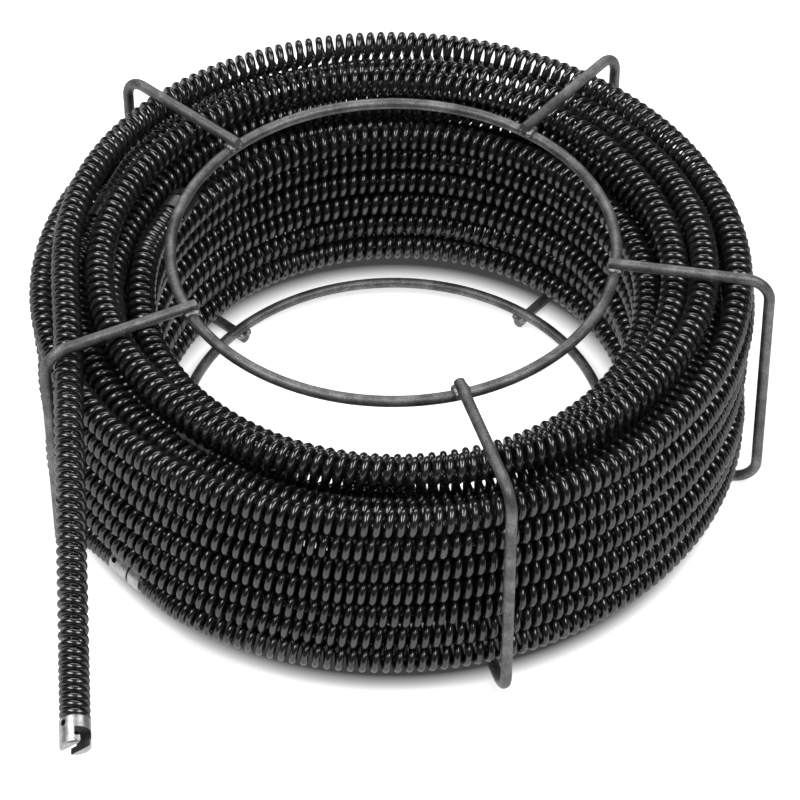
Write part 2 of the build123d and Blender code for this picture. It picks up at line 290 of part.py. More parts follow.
        (-115.2, 148.3, 34.7), (-133.8, 131.8, 35.1), (-150, 113.1, 35.5), (-163.5, 92.3, 35.8), (-174.3, 70, 36.2),
        (-181.9, 46.4, 36.6), (-186.4, 22, 37), (-187.7, -2.8, 37.3), (-185.6, -27.5, 37.7), (-180.4, -51.7, 38),
        (-171.9, -75, 38.4), (-160.5, -97, 38.7), (-146.3, -117.4, 39.1), (-129.5, -135.6, 39.4),
        (-110.4, -151.5, 39.8), (-89.5, -164.7, 40.1), (-67, -175.1, 40.4), (-43.3, -182.4, 40.8),
        (-18.8, -186.6, 41.1), (6, -187.5, 41.4), (30.7, -185.1, 41.8), (54.8, -179.5, 42.1), (78, -170.7, 42.5),
        (99.8, -159, 42.8), (119.9, -144.4, 43.1), (137.9, -127.3, 43.5), (153.4, -108, 43.8), (166.3, -86.8, 44.2),
        (176.3, -64.1, 44.5), (183.1, -40.3, 44.9), (186.8, -15.7, 45.2), (187.2, 9.1, 45.5), (184.4, 33.7, 45.9),
        (178.3, 57.7, 46.2), (169.1, 80.7, 46.6), (156.9, 102.4, 46.9), (142, 122.2, 47.2), (124.6, 139.9, 47.6),
        (105, 155.1, 47.9), (83.6, 167.6, 48.2), (60.8, 177.2, 48.6), (36.9, 183.8, 48.9), (12.3, 187.1, 49.3),
        (-12.5, 187.2, 49.6), (-37.1, 184, 50), (-61.1, 177.6, 50.4), (-84, 168.1, 50.7), (-105.4, 155.7, 51.1),
        (-125.1, 140.5, 51.5), (-142.5, 122.9, 51.9), (-157.4, 103.1, 52.2), (-169.6, 81.5, 52.6),
        (-178.8, 58.5, 53), (-184.9, 34.4, 53.3), (-187.7, 9.8, 53.7), (-187.3, -15, 54.1), (-183.6, -39.5, 54.4),
        (-176.8, -63.4, 54.8), (-166.8, -86.1, 55.1), (-154, -107.3, 55.5), (-138.4, -126.6, 55.8),
        (-120.5, -143.7, 56.2), (-100.5, -158.3, 56.5), (-78.7, -170.2, 56.9), (-55.5, -179.1, 57.2),
        (-31.4, -184.9, 57.5), (-6.8, -187.4, 57.9), (18, -186.8, 58.3), (42.5, -182.8, 58.6), (66.3, -175.7, 59),
        (88.8, -165.6, 59.3), (110, -152.7, 59.7), (129.3, -137, 60.1), (146.8, -118.9, 60.5), (161.8, -98.5, 60.9),
        (173.9, -76.4, 61.3),
    ],
    [
        (183.7, 44.4, 63.1), (176.4, 68, 63.4), (165.5, 91.2, 63.7), (151.6, 112.7, 64), (135.1, 131.8, 64.3),
        (116.5, 148.3, 64.6), (96, 162.1, 64.9), (73.8, 173.2, 65.2), (50.4, 181.3, 65.5), (26, 186.2, 65.8),
        (1.3, 188, 66.2), (-23.5, 186.5, 66.5), (-47.8, 181.7, 66.8), (-71.4, 173.8, 67.2), (-93.7, 162.9, 67.5),
        (-114.3, 149.2, 67.9), (-133, 132.8, 68.3), (-149.3, 114.2, 68.6), (-163.1, 93.5, 69), (-174, 71.2, 69.4),
        (-182, 47.7, 69.8), (-186.8, 23.4, 70.1), (-188.3, -1.4, 70.5), (-186.7, -26.2, 70.9), (-181.8, -50.5, 71.3),
        (-173.7, -74, 71.6), (-162.4, -96, 72), (-148.3, -116.4, 72.3), (-131.5, -134.7, 72.6), (-112.5, -150.6, 73),
        (-91.5, -163.9, 73.3), (-69, -174.4, 73.6), (-45.3, -181.8, 74), (-20.8, -186, 74.3), (4, -187, 74.6),
        (28.7, -184.7, 75), (52.9, -179.2, 75.3), (76.1, -170.6, 75.7), (98.1, -158.9, 76.1), (118.3, -144.5, 76.4),
        (136.4, -127.6, 76.8), (152.1, -108.4, 77.2), (165.1, -87.2, 77.6), (175.3, -64.6, 78), (182.4, -40.8, 78.4),
        (186.3, -16.3, 78.8), (186.9, 8.5, 79.1), (184.3, 33.2, 79.5), (178.4, 57.3, 79.8), (169.4, 80.4, 80.1),
        (157.5, 102.2, 80.4), (142.7, 122.1, 80.7), (125.4, 139.9, 81), (105.9, 155.3, 81.4), (84.5, 167.9, 81.7),
        (61.7, 177.5, 82), (37.7, 183.9, 82.3), (13.1, 187.2, 82.6), (-11.7, 187.1, 83), (-36.3, 183.8, 83.3),
        (-60.2, 177.3, 83.6), (-83.1, 167.6, 84), (-104.5, 155, 84.3), (-124, 139.7, 84.7), (-141.4, 122, 85),
        (-156.2, 102.1, 85.4), (-168.3, 80.4, 85.8), (-177.4, 57.3, 86.2), (-183.4, 33.2, 86.5), (-186.1, 8.6, 86.9),
        (-185.6, -16.2, 87.3), (-181.8, -40.8, 87.7), (-174.8, -64.6, 88.1), (-164.7, -87.2, 88.5),
        (-151.7, -108.4, 88.8), (-136, -127.6, 89.2), (-117.9, -144.6, 89.6), (-97.7, -159.1, 90),
        (-75.8, -170.8, 90.4), (-52.6, -179.4, 90.8), (-28.4, -185, 91.2), (-3.7, -187.2, 91.5),
        (21.1, -186.1, 91.9), (45.5, -181.7, 92.3), (69.1, -174, 92.7), (91.5, -163.3, 93.1), (112.2, -149.7, 93.5),
        (131, -133.5, 93.9), (147.5, -114.9, 94.3), (161.4, -94.3, 94.7), (172.4, -72.1, 95), (180.4, -48.6, 95.4),
        (185.2, -24.3, 95.8), (186.8, 0.5, 96.2), (185.1, 25.2, 96.5), (180.2, 49.5, 96.9), (172.1, 73, 97.2),
        (160.9, 95.2, 97.5), (147, 115.7, 97.9), (130.4, 134.2, 98.2), (111.6, 150.4, 98.5), (90.8, 163.9, 98.9),
        (68.4, 174.6, 99.2), (44.9, 182.3, 99.5), (20.4, 186.9, 99.9), (-4.5, 188.4, 100.2), (-29.5, 186.5, 100.6),
        (-54, 181.1, 101), (-77.2, 172.2, 101.4),
    ],
    [
        (-165.4, 89, 103), (-176.1, 67, 103.2), (-183.8, 42.7, 103.4), (-187.9, 17.6, 103.7), (-188.4, -7.5, 104),
        (-185.6, -32.2, 104.3), (-179.5, -56.1, 104.6), (-170.5, -79.1, 104.9), (-158.6, -100.7, 105.2),
        (-144, -120.7, 105.6), (-126.9, -138.5, 106), (-107.6, -154, 106.4), (-86.4, -166.8, 106.8),
        (-63.8, -176.7, 107.2), (-40, -183.6, 107.6), (-15.6, -187.3, 107.9), (9.1, -187.7, 108.3),
        (33.7, -184.9, 108.7), (57.7, -179, 109.1), (80.7, -169.9, 109.5), (102.3, -157.9, 109.8),
        (122.1, -143.2, 110.2), (139.9, -125.9, 110.6), (155.2, -106.6, 111), (167.9, -85.3, 111.3),
        (177.7, -62.6, 111.7), (184.4, -38.8, 112.1), (187.9, -14.4, 112.5), (188.2, 10.4, 112.8),
        (185.3, 34.9, 113.2), (179.1, 58.9, 113.5), (169.9, 81.8, 113.9), (157.8, 103.3, 114.2),
        (142.9, 123.1, 114.6), (125.6, 140.7, 114.9), (106.1, 156, 115.2), (84.8, 168.5, 115.6),
        (62.1, 178.2, 115.9), (38.2, 184.8, 116.3), (13.8, 188.2, 116.6), (-11, 188.4, 116.9), (-35.5, 185.4, 117.3),
        (-59.4, 179.3, 117.6), (-82.4, 170.1, 118), (-104, 158, 118.3), (-123.8, 143.2, 118.7), (-141.5, 125.9, 119),
        (-156.8, 106.5, 119.3), (-169.4, 85.3, 119.5), (-179.2, 62.5, 119.8), (-185.8, 38.7, 120),
        (-189.1, 14.2, 120.3), (-189.2, -10.5, 120.5), (-185.9, -35, 120.8), (-179.4, -58.8, 121.1),
        (-169.8, -81.6, 121.3), (-157.4, -103, 121.7), (-142.4, -122.7, 122.2), (-124.9, -140.2, 122.7),
        (-105.4, -155.3, 123.2), (-84, -167.7, 123.6), (-61.2, -177.2, 124), (-37.3, -183.7, 124.5),
        (-12.8, -186.9, 124.9), (11.9, -186.9, 125.3), (36.4, -183.6, 125.7), (60.2, -177.1, 126.1),
        (83, -167.5, 126.6), (104.4, -155, 127), (123.9, -139.8, 127.4), (141.2, -122.2, 127.9),
        (156, -102.4, 128.3), (168.1, -80.9, 128.7), (177.3, -57.9, 129.1), (183.3, -33.9, 129.5),
        (186.1, -9.4, 130), (185.7, 15.3, 130.4), (182, 39.8, 130.8), (175.1, 63.5, 131.2), (165.1, 86.1, 131.6),
        (152.2, 107.2, 132.1), (136.6, 126.4, 132.5), (118.6, 143.4, 132.9), (98.5, 157.8, 133.3),
        (76.7, 169.3, 133.8), (53.4, 177.8, 134.2), (29.3, 183.1, 134.6), (4.7, 185.1, 135), (-20, 183.7, 135.5),
        (-44.3, 179.1, 135.9), (-67.7, 171.1, 136.4), (-89.8, 160.1, 136.9), (-110.2, 146.1, 137.4),
        (-128.6, 129.5, 137.8), (-144.4, 110.5, 138.1), (-157.3, 89.5, 138.3), (-167, 66.9, 138.4),
        (-173.3, 43.2, 138.5), (-176.3, 18.9, 138.6), (-176.4, -5.8, 138.8), (-174.6, -30.7, 138.9),
        (-172, -55.7, 138.8), (-170, -80.8, 138.1), (-168.3, -105.9, 135.8), (-166.7, -131.1, 131.6),
        (-165, -156.2, 125.7), (-163.4, -181.3, 119.3), (-161.7, -206.4, 112.8), (-160, -231.5, 106.3),
    ],
]


def save(part, label):
    """Label a finished piece and write its STEP file."""
    part.label = label
    export_step(part, f"parts/{label}.step")


def save_shape(shape, label):
    """Save a shape that was built or moved outside a part builder."""
    with BuildPart() as piece:
        add(shape)
    save(piece.part, label)


# ================================================================ carrier
def build_ring(height):
    """Ring bent from rod."""
    with BuildPart() as ring:
        with BuildSketch(Plane.XZ):
            with Locations((ring_radius, height)):
                Circle(rod_dia / 2)
        revolve(axis=Axis.Z)
    return ring.part


def build_spoke(azimuth, top_radius, bottom_radius, rings):
    """C-shaped spoke: radial wire over the top, leg down the outside, radial wire underneath."""
    angle = radians(azimuth)
    radial_plane = Plane(origin=(0, 0, 0), x_dir=(cos(angle), sin(angle), 0),
                         z_dir=(sin(angle), -cos(angle), 0))
    with BuildPart() as spoke:
        with BuildLine(radial_plane) as path:
            FilletPolyline((spoke_inner_radius, top_spoke_z), (top_radius, top_spoke_z),
                           (bottom_radius, bottom_spoke_z), (spoke_inner_radius, bottom_spoke_z),
                           radius=bend_radius)
        with BuildSketch(Plane(origin=path.line @ 0, z_dir=path.line % 0)):
            Circle(rod_dia / 2)
        sweep(path=path.line)
        # saddles where the spoke sinks into the rings at the welds
        for ring in rings:
            add(ring, mode=Mode.SUBTRACT)
    return spoke.part


def build_weld_beads(rods):
    """A bead at each crossing of a spoke and a ring, cut away where the rods run."""
    crossing_heights = (bottom_ring_z - rod_dia / 2 + weld_sink / 2,
                        top_ring_z + rod_dia / 2 - weld_sink / 2)
    with BuildPart() as beads:
        for azimuth, _, _ in spokes:
            angle = radians(azimuth)
            for z in crossing_heights:
                with Locations((ring_radius * cos(angle), ring_radius * sin(angle), z)):
                    Sphere(weld_bead_radius)
        for rod in rods:
            add(rod, mode=Mode.SUBTRACT)
    return beads.part


# ================================================================ couplings, drawn on the Z axis
# z = 0 is the spring end of both bodies; shank outline as (radius, z), shared by both halves
shank_outline = [
    (0, shank_tip_z), (shank_tip_radius, shank_tip_z), (shank_radius, shank_taper_z),
    (shank_radius, 0), (coupling_radius - body_chamfer, 0), (coupling_radius, body_chamfer),
]


def build_female_half():
    """Mating face up, T-slot along X, key hole towards +Y."""
    slot_floor_z = female_len - slot_lip_height - slot_pocket_height
    with BuildPart() as female:
        with BuildSketch(Plane.XZ):
            with BuildLine():
                Polyline(*shank_outline,
                         (coupling_radius, female_len - female_lip_chamfer),
                         (coupling_radius - female_lip_chamfer, female_len),
                         (0, female_len), close=True)
            make_face()
        revolve(axis=Axis.Z)
        with BuildSketch(Plane.YZ):
            with Locations((0, female_len - slot_lip_height / 2)):
                Rectangle(slot_neck_width, slot_lip_height)
            with Locations((0, female_len - slot_lip_height - slot_pocket_height / 2)):
                Rectangle(slot_head_width, slot_pocket_height)
        extrude(amount=2 * coupling_radius, both=True, mode=Mode.SUBTRACT)
        # latch hole in the slot floor, down past the key hole's centreline
        with Locations(Plane.XY.offset(slot_floor_z)):
            Hole(latch_hole_dia / 2, depth=slot_floor_z - key_hole_z + hole_overrun)
        # key hole in the side, just past the axis
        with Locations(Plane(origin=(0, coupling_radius, key_hole_z), z_dir=(0, 1, 0))):
            Hole(key_hole_dia / 2, depth=coupling_radius + hole_overrun)
    return female.part


def build_male_half():
    """T-head up, its neck and head running along X."""
    face_z = male_len - face_gap
    with BuildPart() as male:
        with BuildSketch(Plane.XZ):
            with BuildLine():
                Polyline(*shank_outline,
                         (coupling_radius, male_len - body_chamfer),
                         (coupling_radius - body_chamfer, face_z),
                         (0, face_z), close=True)
            make_face()
        revolve(axis=Axis.Z)
        with BuildSketch(Plane.YZ):
            with Locations((0, male_len + neck_height / 2 - face_gap / 2)):
                Rectangle(neck_width, neck_height + face_gap)
            with Locations((0, male_len + neck_height + head_height / 2)):
                Rectangle(head_width, head_height)
        extrude(amount=coupling_radius, both=True)
        # the ends of the head follow the round of the body
        with BuildSketch(Plane.XY.offset(face_z)):
            Circle(2 * coupling_radius)
            Circle(coupling_radius - head_end_inset, mode=Mode.SUBTRACT)
        extrude(amount=neck_height + head_height + 2, mode=Mode.SUBTRACT)
        # stepped bore of the plunger, staked to a smaller mouth
        with BuildSketch(Plane.XZ):
            with BuildLine():
                Polyline((0, bore_floor_z), (bore_dia / 2, bore_floor_z),
                         (bore_dia / 2, male_tip_z - mouth_height),
                         (mouth_dia / 2, male_tip_z - mouth_height),
                         (mouth_dia / 2, male_tip_z + 1), (0, male_tip_z + 1), close=True)
            make_face()
        revolve(axis=Axis.Z, mode=Mode.SUBTRACT)
    return male.part


def build_plunger():
    """Detent pin with a tapered nose and a collar held behind the staked mouth."""
    with BuildPart() as plunger:
        with BuildSketch(Plane.XZ):
            with BuildLine():
                Polyline((0, collar_base_z), (collar_dia / 2 - collar_chamfer, collar_base_z),
                         (collar_dia / 2, collar_base_z + collar_chamfer),
                         (collar_dia / 2, collar_top_z), (nose_dia / 2, collar_top_z),
                         (nose_dia / 2, nose_tip_z - nose_taper_height),
                         (nose_dia / 2 - nose_taper_width, nose_tip_z),
                         (0, nose_tip_z), close=True)
            make_face()
        revolve(axis=Axis.Z)
    return plunger.part


def build_return_spring():
    """Coil between the bore floor and the plunger's collar."""
    coil_height = collar_base_z - bore_floor_z - 2 * spring_play - spring_wire_dia
    with BuildPart() as spring:
        with BuildLine(Plane.XY.offset(bore_floor_z + spring_play + spring_wire_dia / 2)) as coil:
            Helix(pitch=coil_height / spring_turns, height=coil_height,
                  radius=spring_mean_dia / 2)
        with BuildSketch(Plane(origin=coil.line @ 0, z_dir=coil.line % 0)):
            Circle(spring_wire_dia / 2)
        sweep(path=coil.line, is_frenet=True)
    return spring.part


def slot_direction(heading, roll):
    """Direction of the T-slot at a coupling: level, turned about the cable by roll degrees."""
    level = Vector(0, 0, 1).cross(heading).normalized()
    up = heading.cross(level)
    return level * cos(radians(roll)) + up * sin(radians(roll))


# ================================================================ cable sections
def direction_at(points, i):
    """Direction of the run at one of its inner points."""
    return (points[i + 1] - points[i - 1]).normalized()


def centreline(points, start_dir, end_dir, before=0.0, after=0.0):
    """Smooth centreline of tangent arcs, with straight lengths before and after.

    The arcs pass through every second point, and through every point near the ends,
    where the bend sets in.  Each span is a pair of arcs that meet at a knee.
    """
    last = len(points) - 1
    stops = [i for i in range(last + 1)
             if i < end_points or i > last - end_points or i % 2 == 0]
    tangents = [start_dir] + [direction_at(points, i) for i in stops[1:-1]] + [end_dir]
    with BuildLine() as run:
        if before:
            Line(points[0] - start_dir * before, points[0])
        for i, j, tangent_in, tangent_out in zip(stops[:-1], stops[1:],
                                                 tangents[:-1], tangents[1:]):
            span_start, span_end = points[i], points[j]
            chord = span_end - span_start
            along = chord.dot(tangent_in + tangent_out)
            turn = 2 * (1 - tangent_in.dot(tangent_out))
            square = chord.dot(chord)
            # reach: equal tangent length of the two arcs at the ends of the span
            if turn > 1e-9:
                reach = (sqrt(along * along + turn * square) - along) / turn
            else:
                reach = square / (2 * along)
            knee = (span_start + span_end + (tangent_in - tangent_out) * reach) * 0.5
            knee_dir = (span_end - tangent_out * reach
                        - span_start - tangent_in * reach).normalized()
            for arc_start, arc_end, tangent in ((span_start, knee, tangent_in),
                                                (knee, span_end, knee_dir)):
                # an arc that is all but straight is drawn as a line
                if (arc_end - arc_start).cross(tangent).length < 1e-4:
                    Line(arc_start, arc_end)
                else:
                    TangentArc(arc_start, arc_end, tangent=tangent)
        if after:
            Line(points[-1], points[-1] + end_dir * after)
    return run.wires()[0]


def rod_along(wire, diameter):
    """Round rod swept along a centreline."""
    with BuildPart() as rod:
        with BuildSketch(Plane(origin=wire @ 0, z_dir=wire % 0)) as section:
            Circle(diameter / 2)
        sweep(section.sketch, path=wire)
    return rod.part


def plug(start, direction, diameter, length):
    """Straight round plug."""
    with BuildPart() as straight:
        with BuildSketch(Plane(origin=start, z_dir=direction)) as section:
            Circle(diameter / 2)
        extrude(section.sketch, amount=length)
    return straight.part


def curved_walls(part):
    return list(part.faces().filter_by(GeomType.PLANE, reverse=True))


def rim_at(part, point):
    """Edge of the flat end nearest a point."""
    return part.faces().filter_by(GeomType.PLANE).sort_by_distance(point)[0].outer_wire()


def spring_tube(points, start_dir, end_dir, grip_start=False, grip_end=False):
    """Tube that stands for the spring: wide bore along the run, narrow bore in gripping ends.

    The long walls are put together as one closed shell.
    """
    outer = rod_along(centreline(points, start_dir, end_dir,
                                 before=shank_len if grip_start else 0,
                                 after=shank_len if grip_end else 0), cable_dia)
    inner = rod_along(centreline(points, start_dir, end_dir), open_bore_dia)
    walls = curved_walls(outer) + curved_walls(inner)
    for gripped, end, outward in ((grip_start, points[0], start_dir * -1),
                                  (grip_end, points[-1], end_dir)):
        if gripped:
            tip = end + outward * shank_len
            grip = plug(end, outward, grip_bore_dia, shank_len)
            walls += curved_walls(grip)
            walls.append(Face(rim_at(outer, tip), [rim_at(grip, tip)]))
            walls.append(Face(rim_at(inner, end), [rim_at(grip, end)]))
        else:
            walls.append(Face(rim_at(outer, end), [rim_at(inner, end)]))
    return Solid(Shell(walls))


def add_round_nose(tube, start, direction):
    """The tube with a hollow round nose at its start, which turns in the gap before it."""
    outer_radius = cable_dia / 2
    inner_radius = open_bore_dia / 2
    nose_plane = Plane(origin=start, x_dir=direction,
                       z_dir=direction.cross(Vector(0, 0, 1)).normalized())
    with BuildPart() as piece:
        add(tube)
        with BuildSketch(nose_plane) as nose:
            with BuildLine():
                CenterArc((0, 0), outer_radius, 90, 90)
                CenterArc((0, 0), inner_radius, 90, 90)
                Line((0, outer_radius), (0, inner_radius))
                Line((-outer_radius, 0), (-inner_radius, 0))
            make_face()
        revolve(nose.sketch, axis=Axis(start, direction))
    return piece.part


def save_free_cable(points, start_dir, end_dir, label):
    """The last section's cable, in three pieces: its tail bends at two points."""
    tail = range(len(points) - tail_points, len(points) - 1)
    bend_1, bend_2 = (min(tail, key=lambda i: abs(points[i].Y - y)) for y in tail_bend_y)
    dir_1 = direction_at(points, bend_1)
    dir_2 = direction_at(points, bend_2)
    main_run = points[:bend_1] + [points[bend_1] - dir_1 * bend_gap]
    middle_run = points[bend_1:bend_2] + [points[bend_2] - dir_2 * bend_gap]
    save_shape(spring_tube(main_run, start_dir, dir_1, grip_start=True), label)
    save(add_round_nose(spring_tube(middle_run, dir_1, dir_2), points[bend_1], dir_1),
         f"{label}_tail_middle")
    save(add_round_nose(spring_tube(points[bend_2:], dir_2, end_dir, grip_end=True),
                        points[bend_2], dir_2),
         f"{label}_tail_end")


# ================================================================ build
bottom_ring = build_ring(bottom_ring_z)
top_ring = build_ring(top_ring_z)
carrier_rods = [bottom_ring, top_ring]
save(bottom_ring, "bottom_ring")
save(top_ring, "top_ring")
for i, spoke_row in enumerate(spokes):
    spoke_part = build_spoke(*spoke_row, rings=(bottom_ring, top_ring))
    save(spoke_part, f"spoke_{i + 1}")
    carrier_rods.append(spoke_part)
save(build_weld_beads(carrier_rods), "weld_beads")

female_half = build_female_half()
male_pieces = {
    "male_coupling": build_male_half(),
    "detent_plunger": build_plunger(),
    "plunger_spring": build_return_spring(),
}

for k, lay_points in enumerate(lay):
    number = f"{k + 1:02d}"
    place, heading, start_roll = coupling_stations[k]
    start, start_dir = Vector(*place), Vector(*heading).normalized()
    place, heading, end_roll = coupling_stations[k + 1]
    end, end_dir = Vector(*place), Vector(*heading).normalized()

    # the bending run lies between the two gripped lengths
    points = [start + start_dir * (male_len + shank_len)]
    points += [Vector(*point) for point in lay_points]
    points.append(end - end_dir * (female_len + shank_len))
    if k + 1 < len(lay):
        save_shape(spring_tube(points, start_dir, end_dir, grip_start=True, grip_end=True),
                   f"spring_cable_{number}")
    else:
        save_free_cable(points, start_dir, end_dir, f"spring_cable_{number}")

    # male half, plunger and return spring at the start, facing back along the cable
    male_seat = Plane(origin=start + start_dir * male_len,
                      x_dir=slot_direction(start_dir, start_roll),
                      z_dir=start_dir * -1).location
    for name, piece in male_pieces.items():
        save_shape(piece.moved(male_seat), f"{name}_{number}")

    # female half at the end
    female_seat = Plane(origin=end - end_dir * female_len,
                        x_dir=slot_direction(end_dir, end_roll), z_dir=end_dir).location
    save_shape(female_half.moved(female_seat), f"female_coupling_{number}")
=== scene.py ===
"""Looks of a sectional drain cable coiled in a wire carrier.

The carrier stands on the floor, z = 0, round the Z axis.  Ten wound springs, joined by couplings, lie
coiled in it, and the free tail leaves over its -X, -Y side towards the camera.  The frame is in metres;
names ending in _MM, the joints and the cable's own geometry are in millimetres.
"""
import math

import bmesh
import bpy
import numpy as np
from mathutils import Matrix, Vector


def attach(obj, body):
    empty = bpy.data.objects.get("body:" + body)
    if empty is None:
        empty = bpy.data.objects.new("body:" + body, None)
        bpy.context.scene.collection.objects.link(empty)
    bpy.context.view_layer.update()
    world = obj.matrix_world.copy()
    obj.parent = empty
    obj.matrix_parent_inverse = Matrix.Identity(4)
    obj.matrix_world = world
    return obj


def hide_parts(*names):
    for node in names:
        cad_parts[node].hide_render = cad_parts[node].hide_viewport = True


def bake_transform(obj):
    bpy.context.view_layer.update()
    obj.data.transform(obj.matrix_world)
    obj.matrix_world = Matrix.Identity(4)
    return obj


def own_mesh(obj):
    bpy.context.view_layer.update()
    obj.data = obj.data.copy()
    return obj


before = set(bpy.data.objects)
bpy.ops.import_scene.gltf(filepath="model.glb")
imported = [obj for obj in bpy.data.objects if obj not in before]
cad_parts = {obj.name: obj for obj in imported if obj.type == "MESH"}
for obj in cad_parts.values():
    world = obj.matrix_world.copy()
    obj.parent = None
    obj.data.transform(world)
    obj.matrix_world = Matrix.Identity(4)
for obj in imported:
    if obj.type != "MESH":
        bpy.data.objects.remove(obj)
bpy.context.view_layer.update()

MM = 1000               # millimetres in a metre


def unit(v):
    v = np.array(v, float)
    return v / np.linalg.norm(v)


# ---------------------------------------------------------------- the lay of the cable
# Each joint: middle of its faces (mm), direction of the cable there.  Section k runs from the male
# coupling at joint k to the female coupling at joint k + 1; the last joint is the free end.
JOINTS = [(np.array(place), unit(heading)) for place, heading in [
    ((-118.72, 62.46, 119.66), (-0.40675, -0.91325, -0.02325)),
    ((-89.55, -99.46, 66.61), (0.73519, -0.6777, -0.01478)),
    ((83.47, -108.78, 14.55), (0.80651, 0.59122, -0.00158)),
    ((8.64, -152.05, 57.54), (0.99981, 0.00511, 0.01867)),
    ((-98.8, -114.66, 105.78), (0.76311, -0.64608, 0.01553)),
    ((-160.02, 51.22, 123.07), (-0.3409, -0.93996, -0.01625)),
    ((155.82, 57.49, 58.93), (-0.31984, 0.94727, -0.01958)),
    ((-137.76, -124.04, 21.88), (0.67276, -0.73973, 0.01412)),
    ((185.41, -6.47, 62.38), (0.04371, 0.99893, 0.01489)),
    ((-132.08, 127.55, 102.34), (-0.70699, -0.70711, 0.01264)),
    ((-155.31, -303.04, 87.77), (0.0639, -0.96618, -0.24982)),
]]
SECTIONS = len(JOINTS) - 1

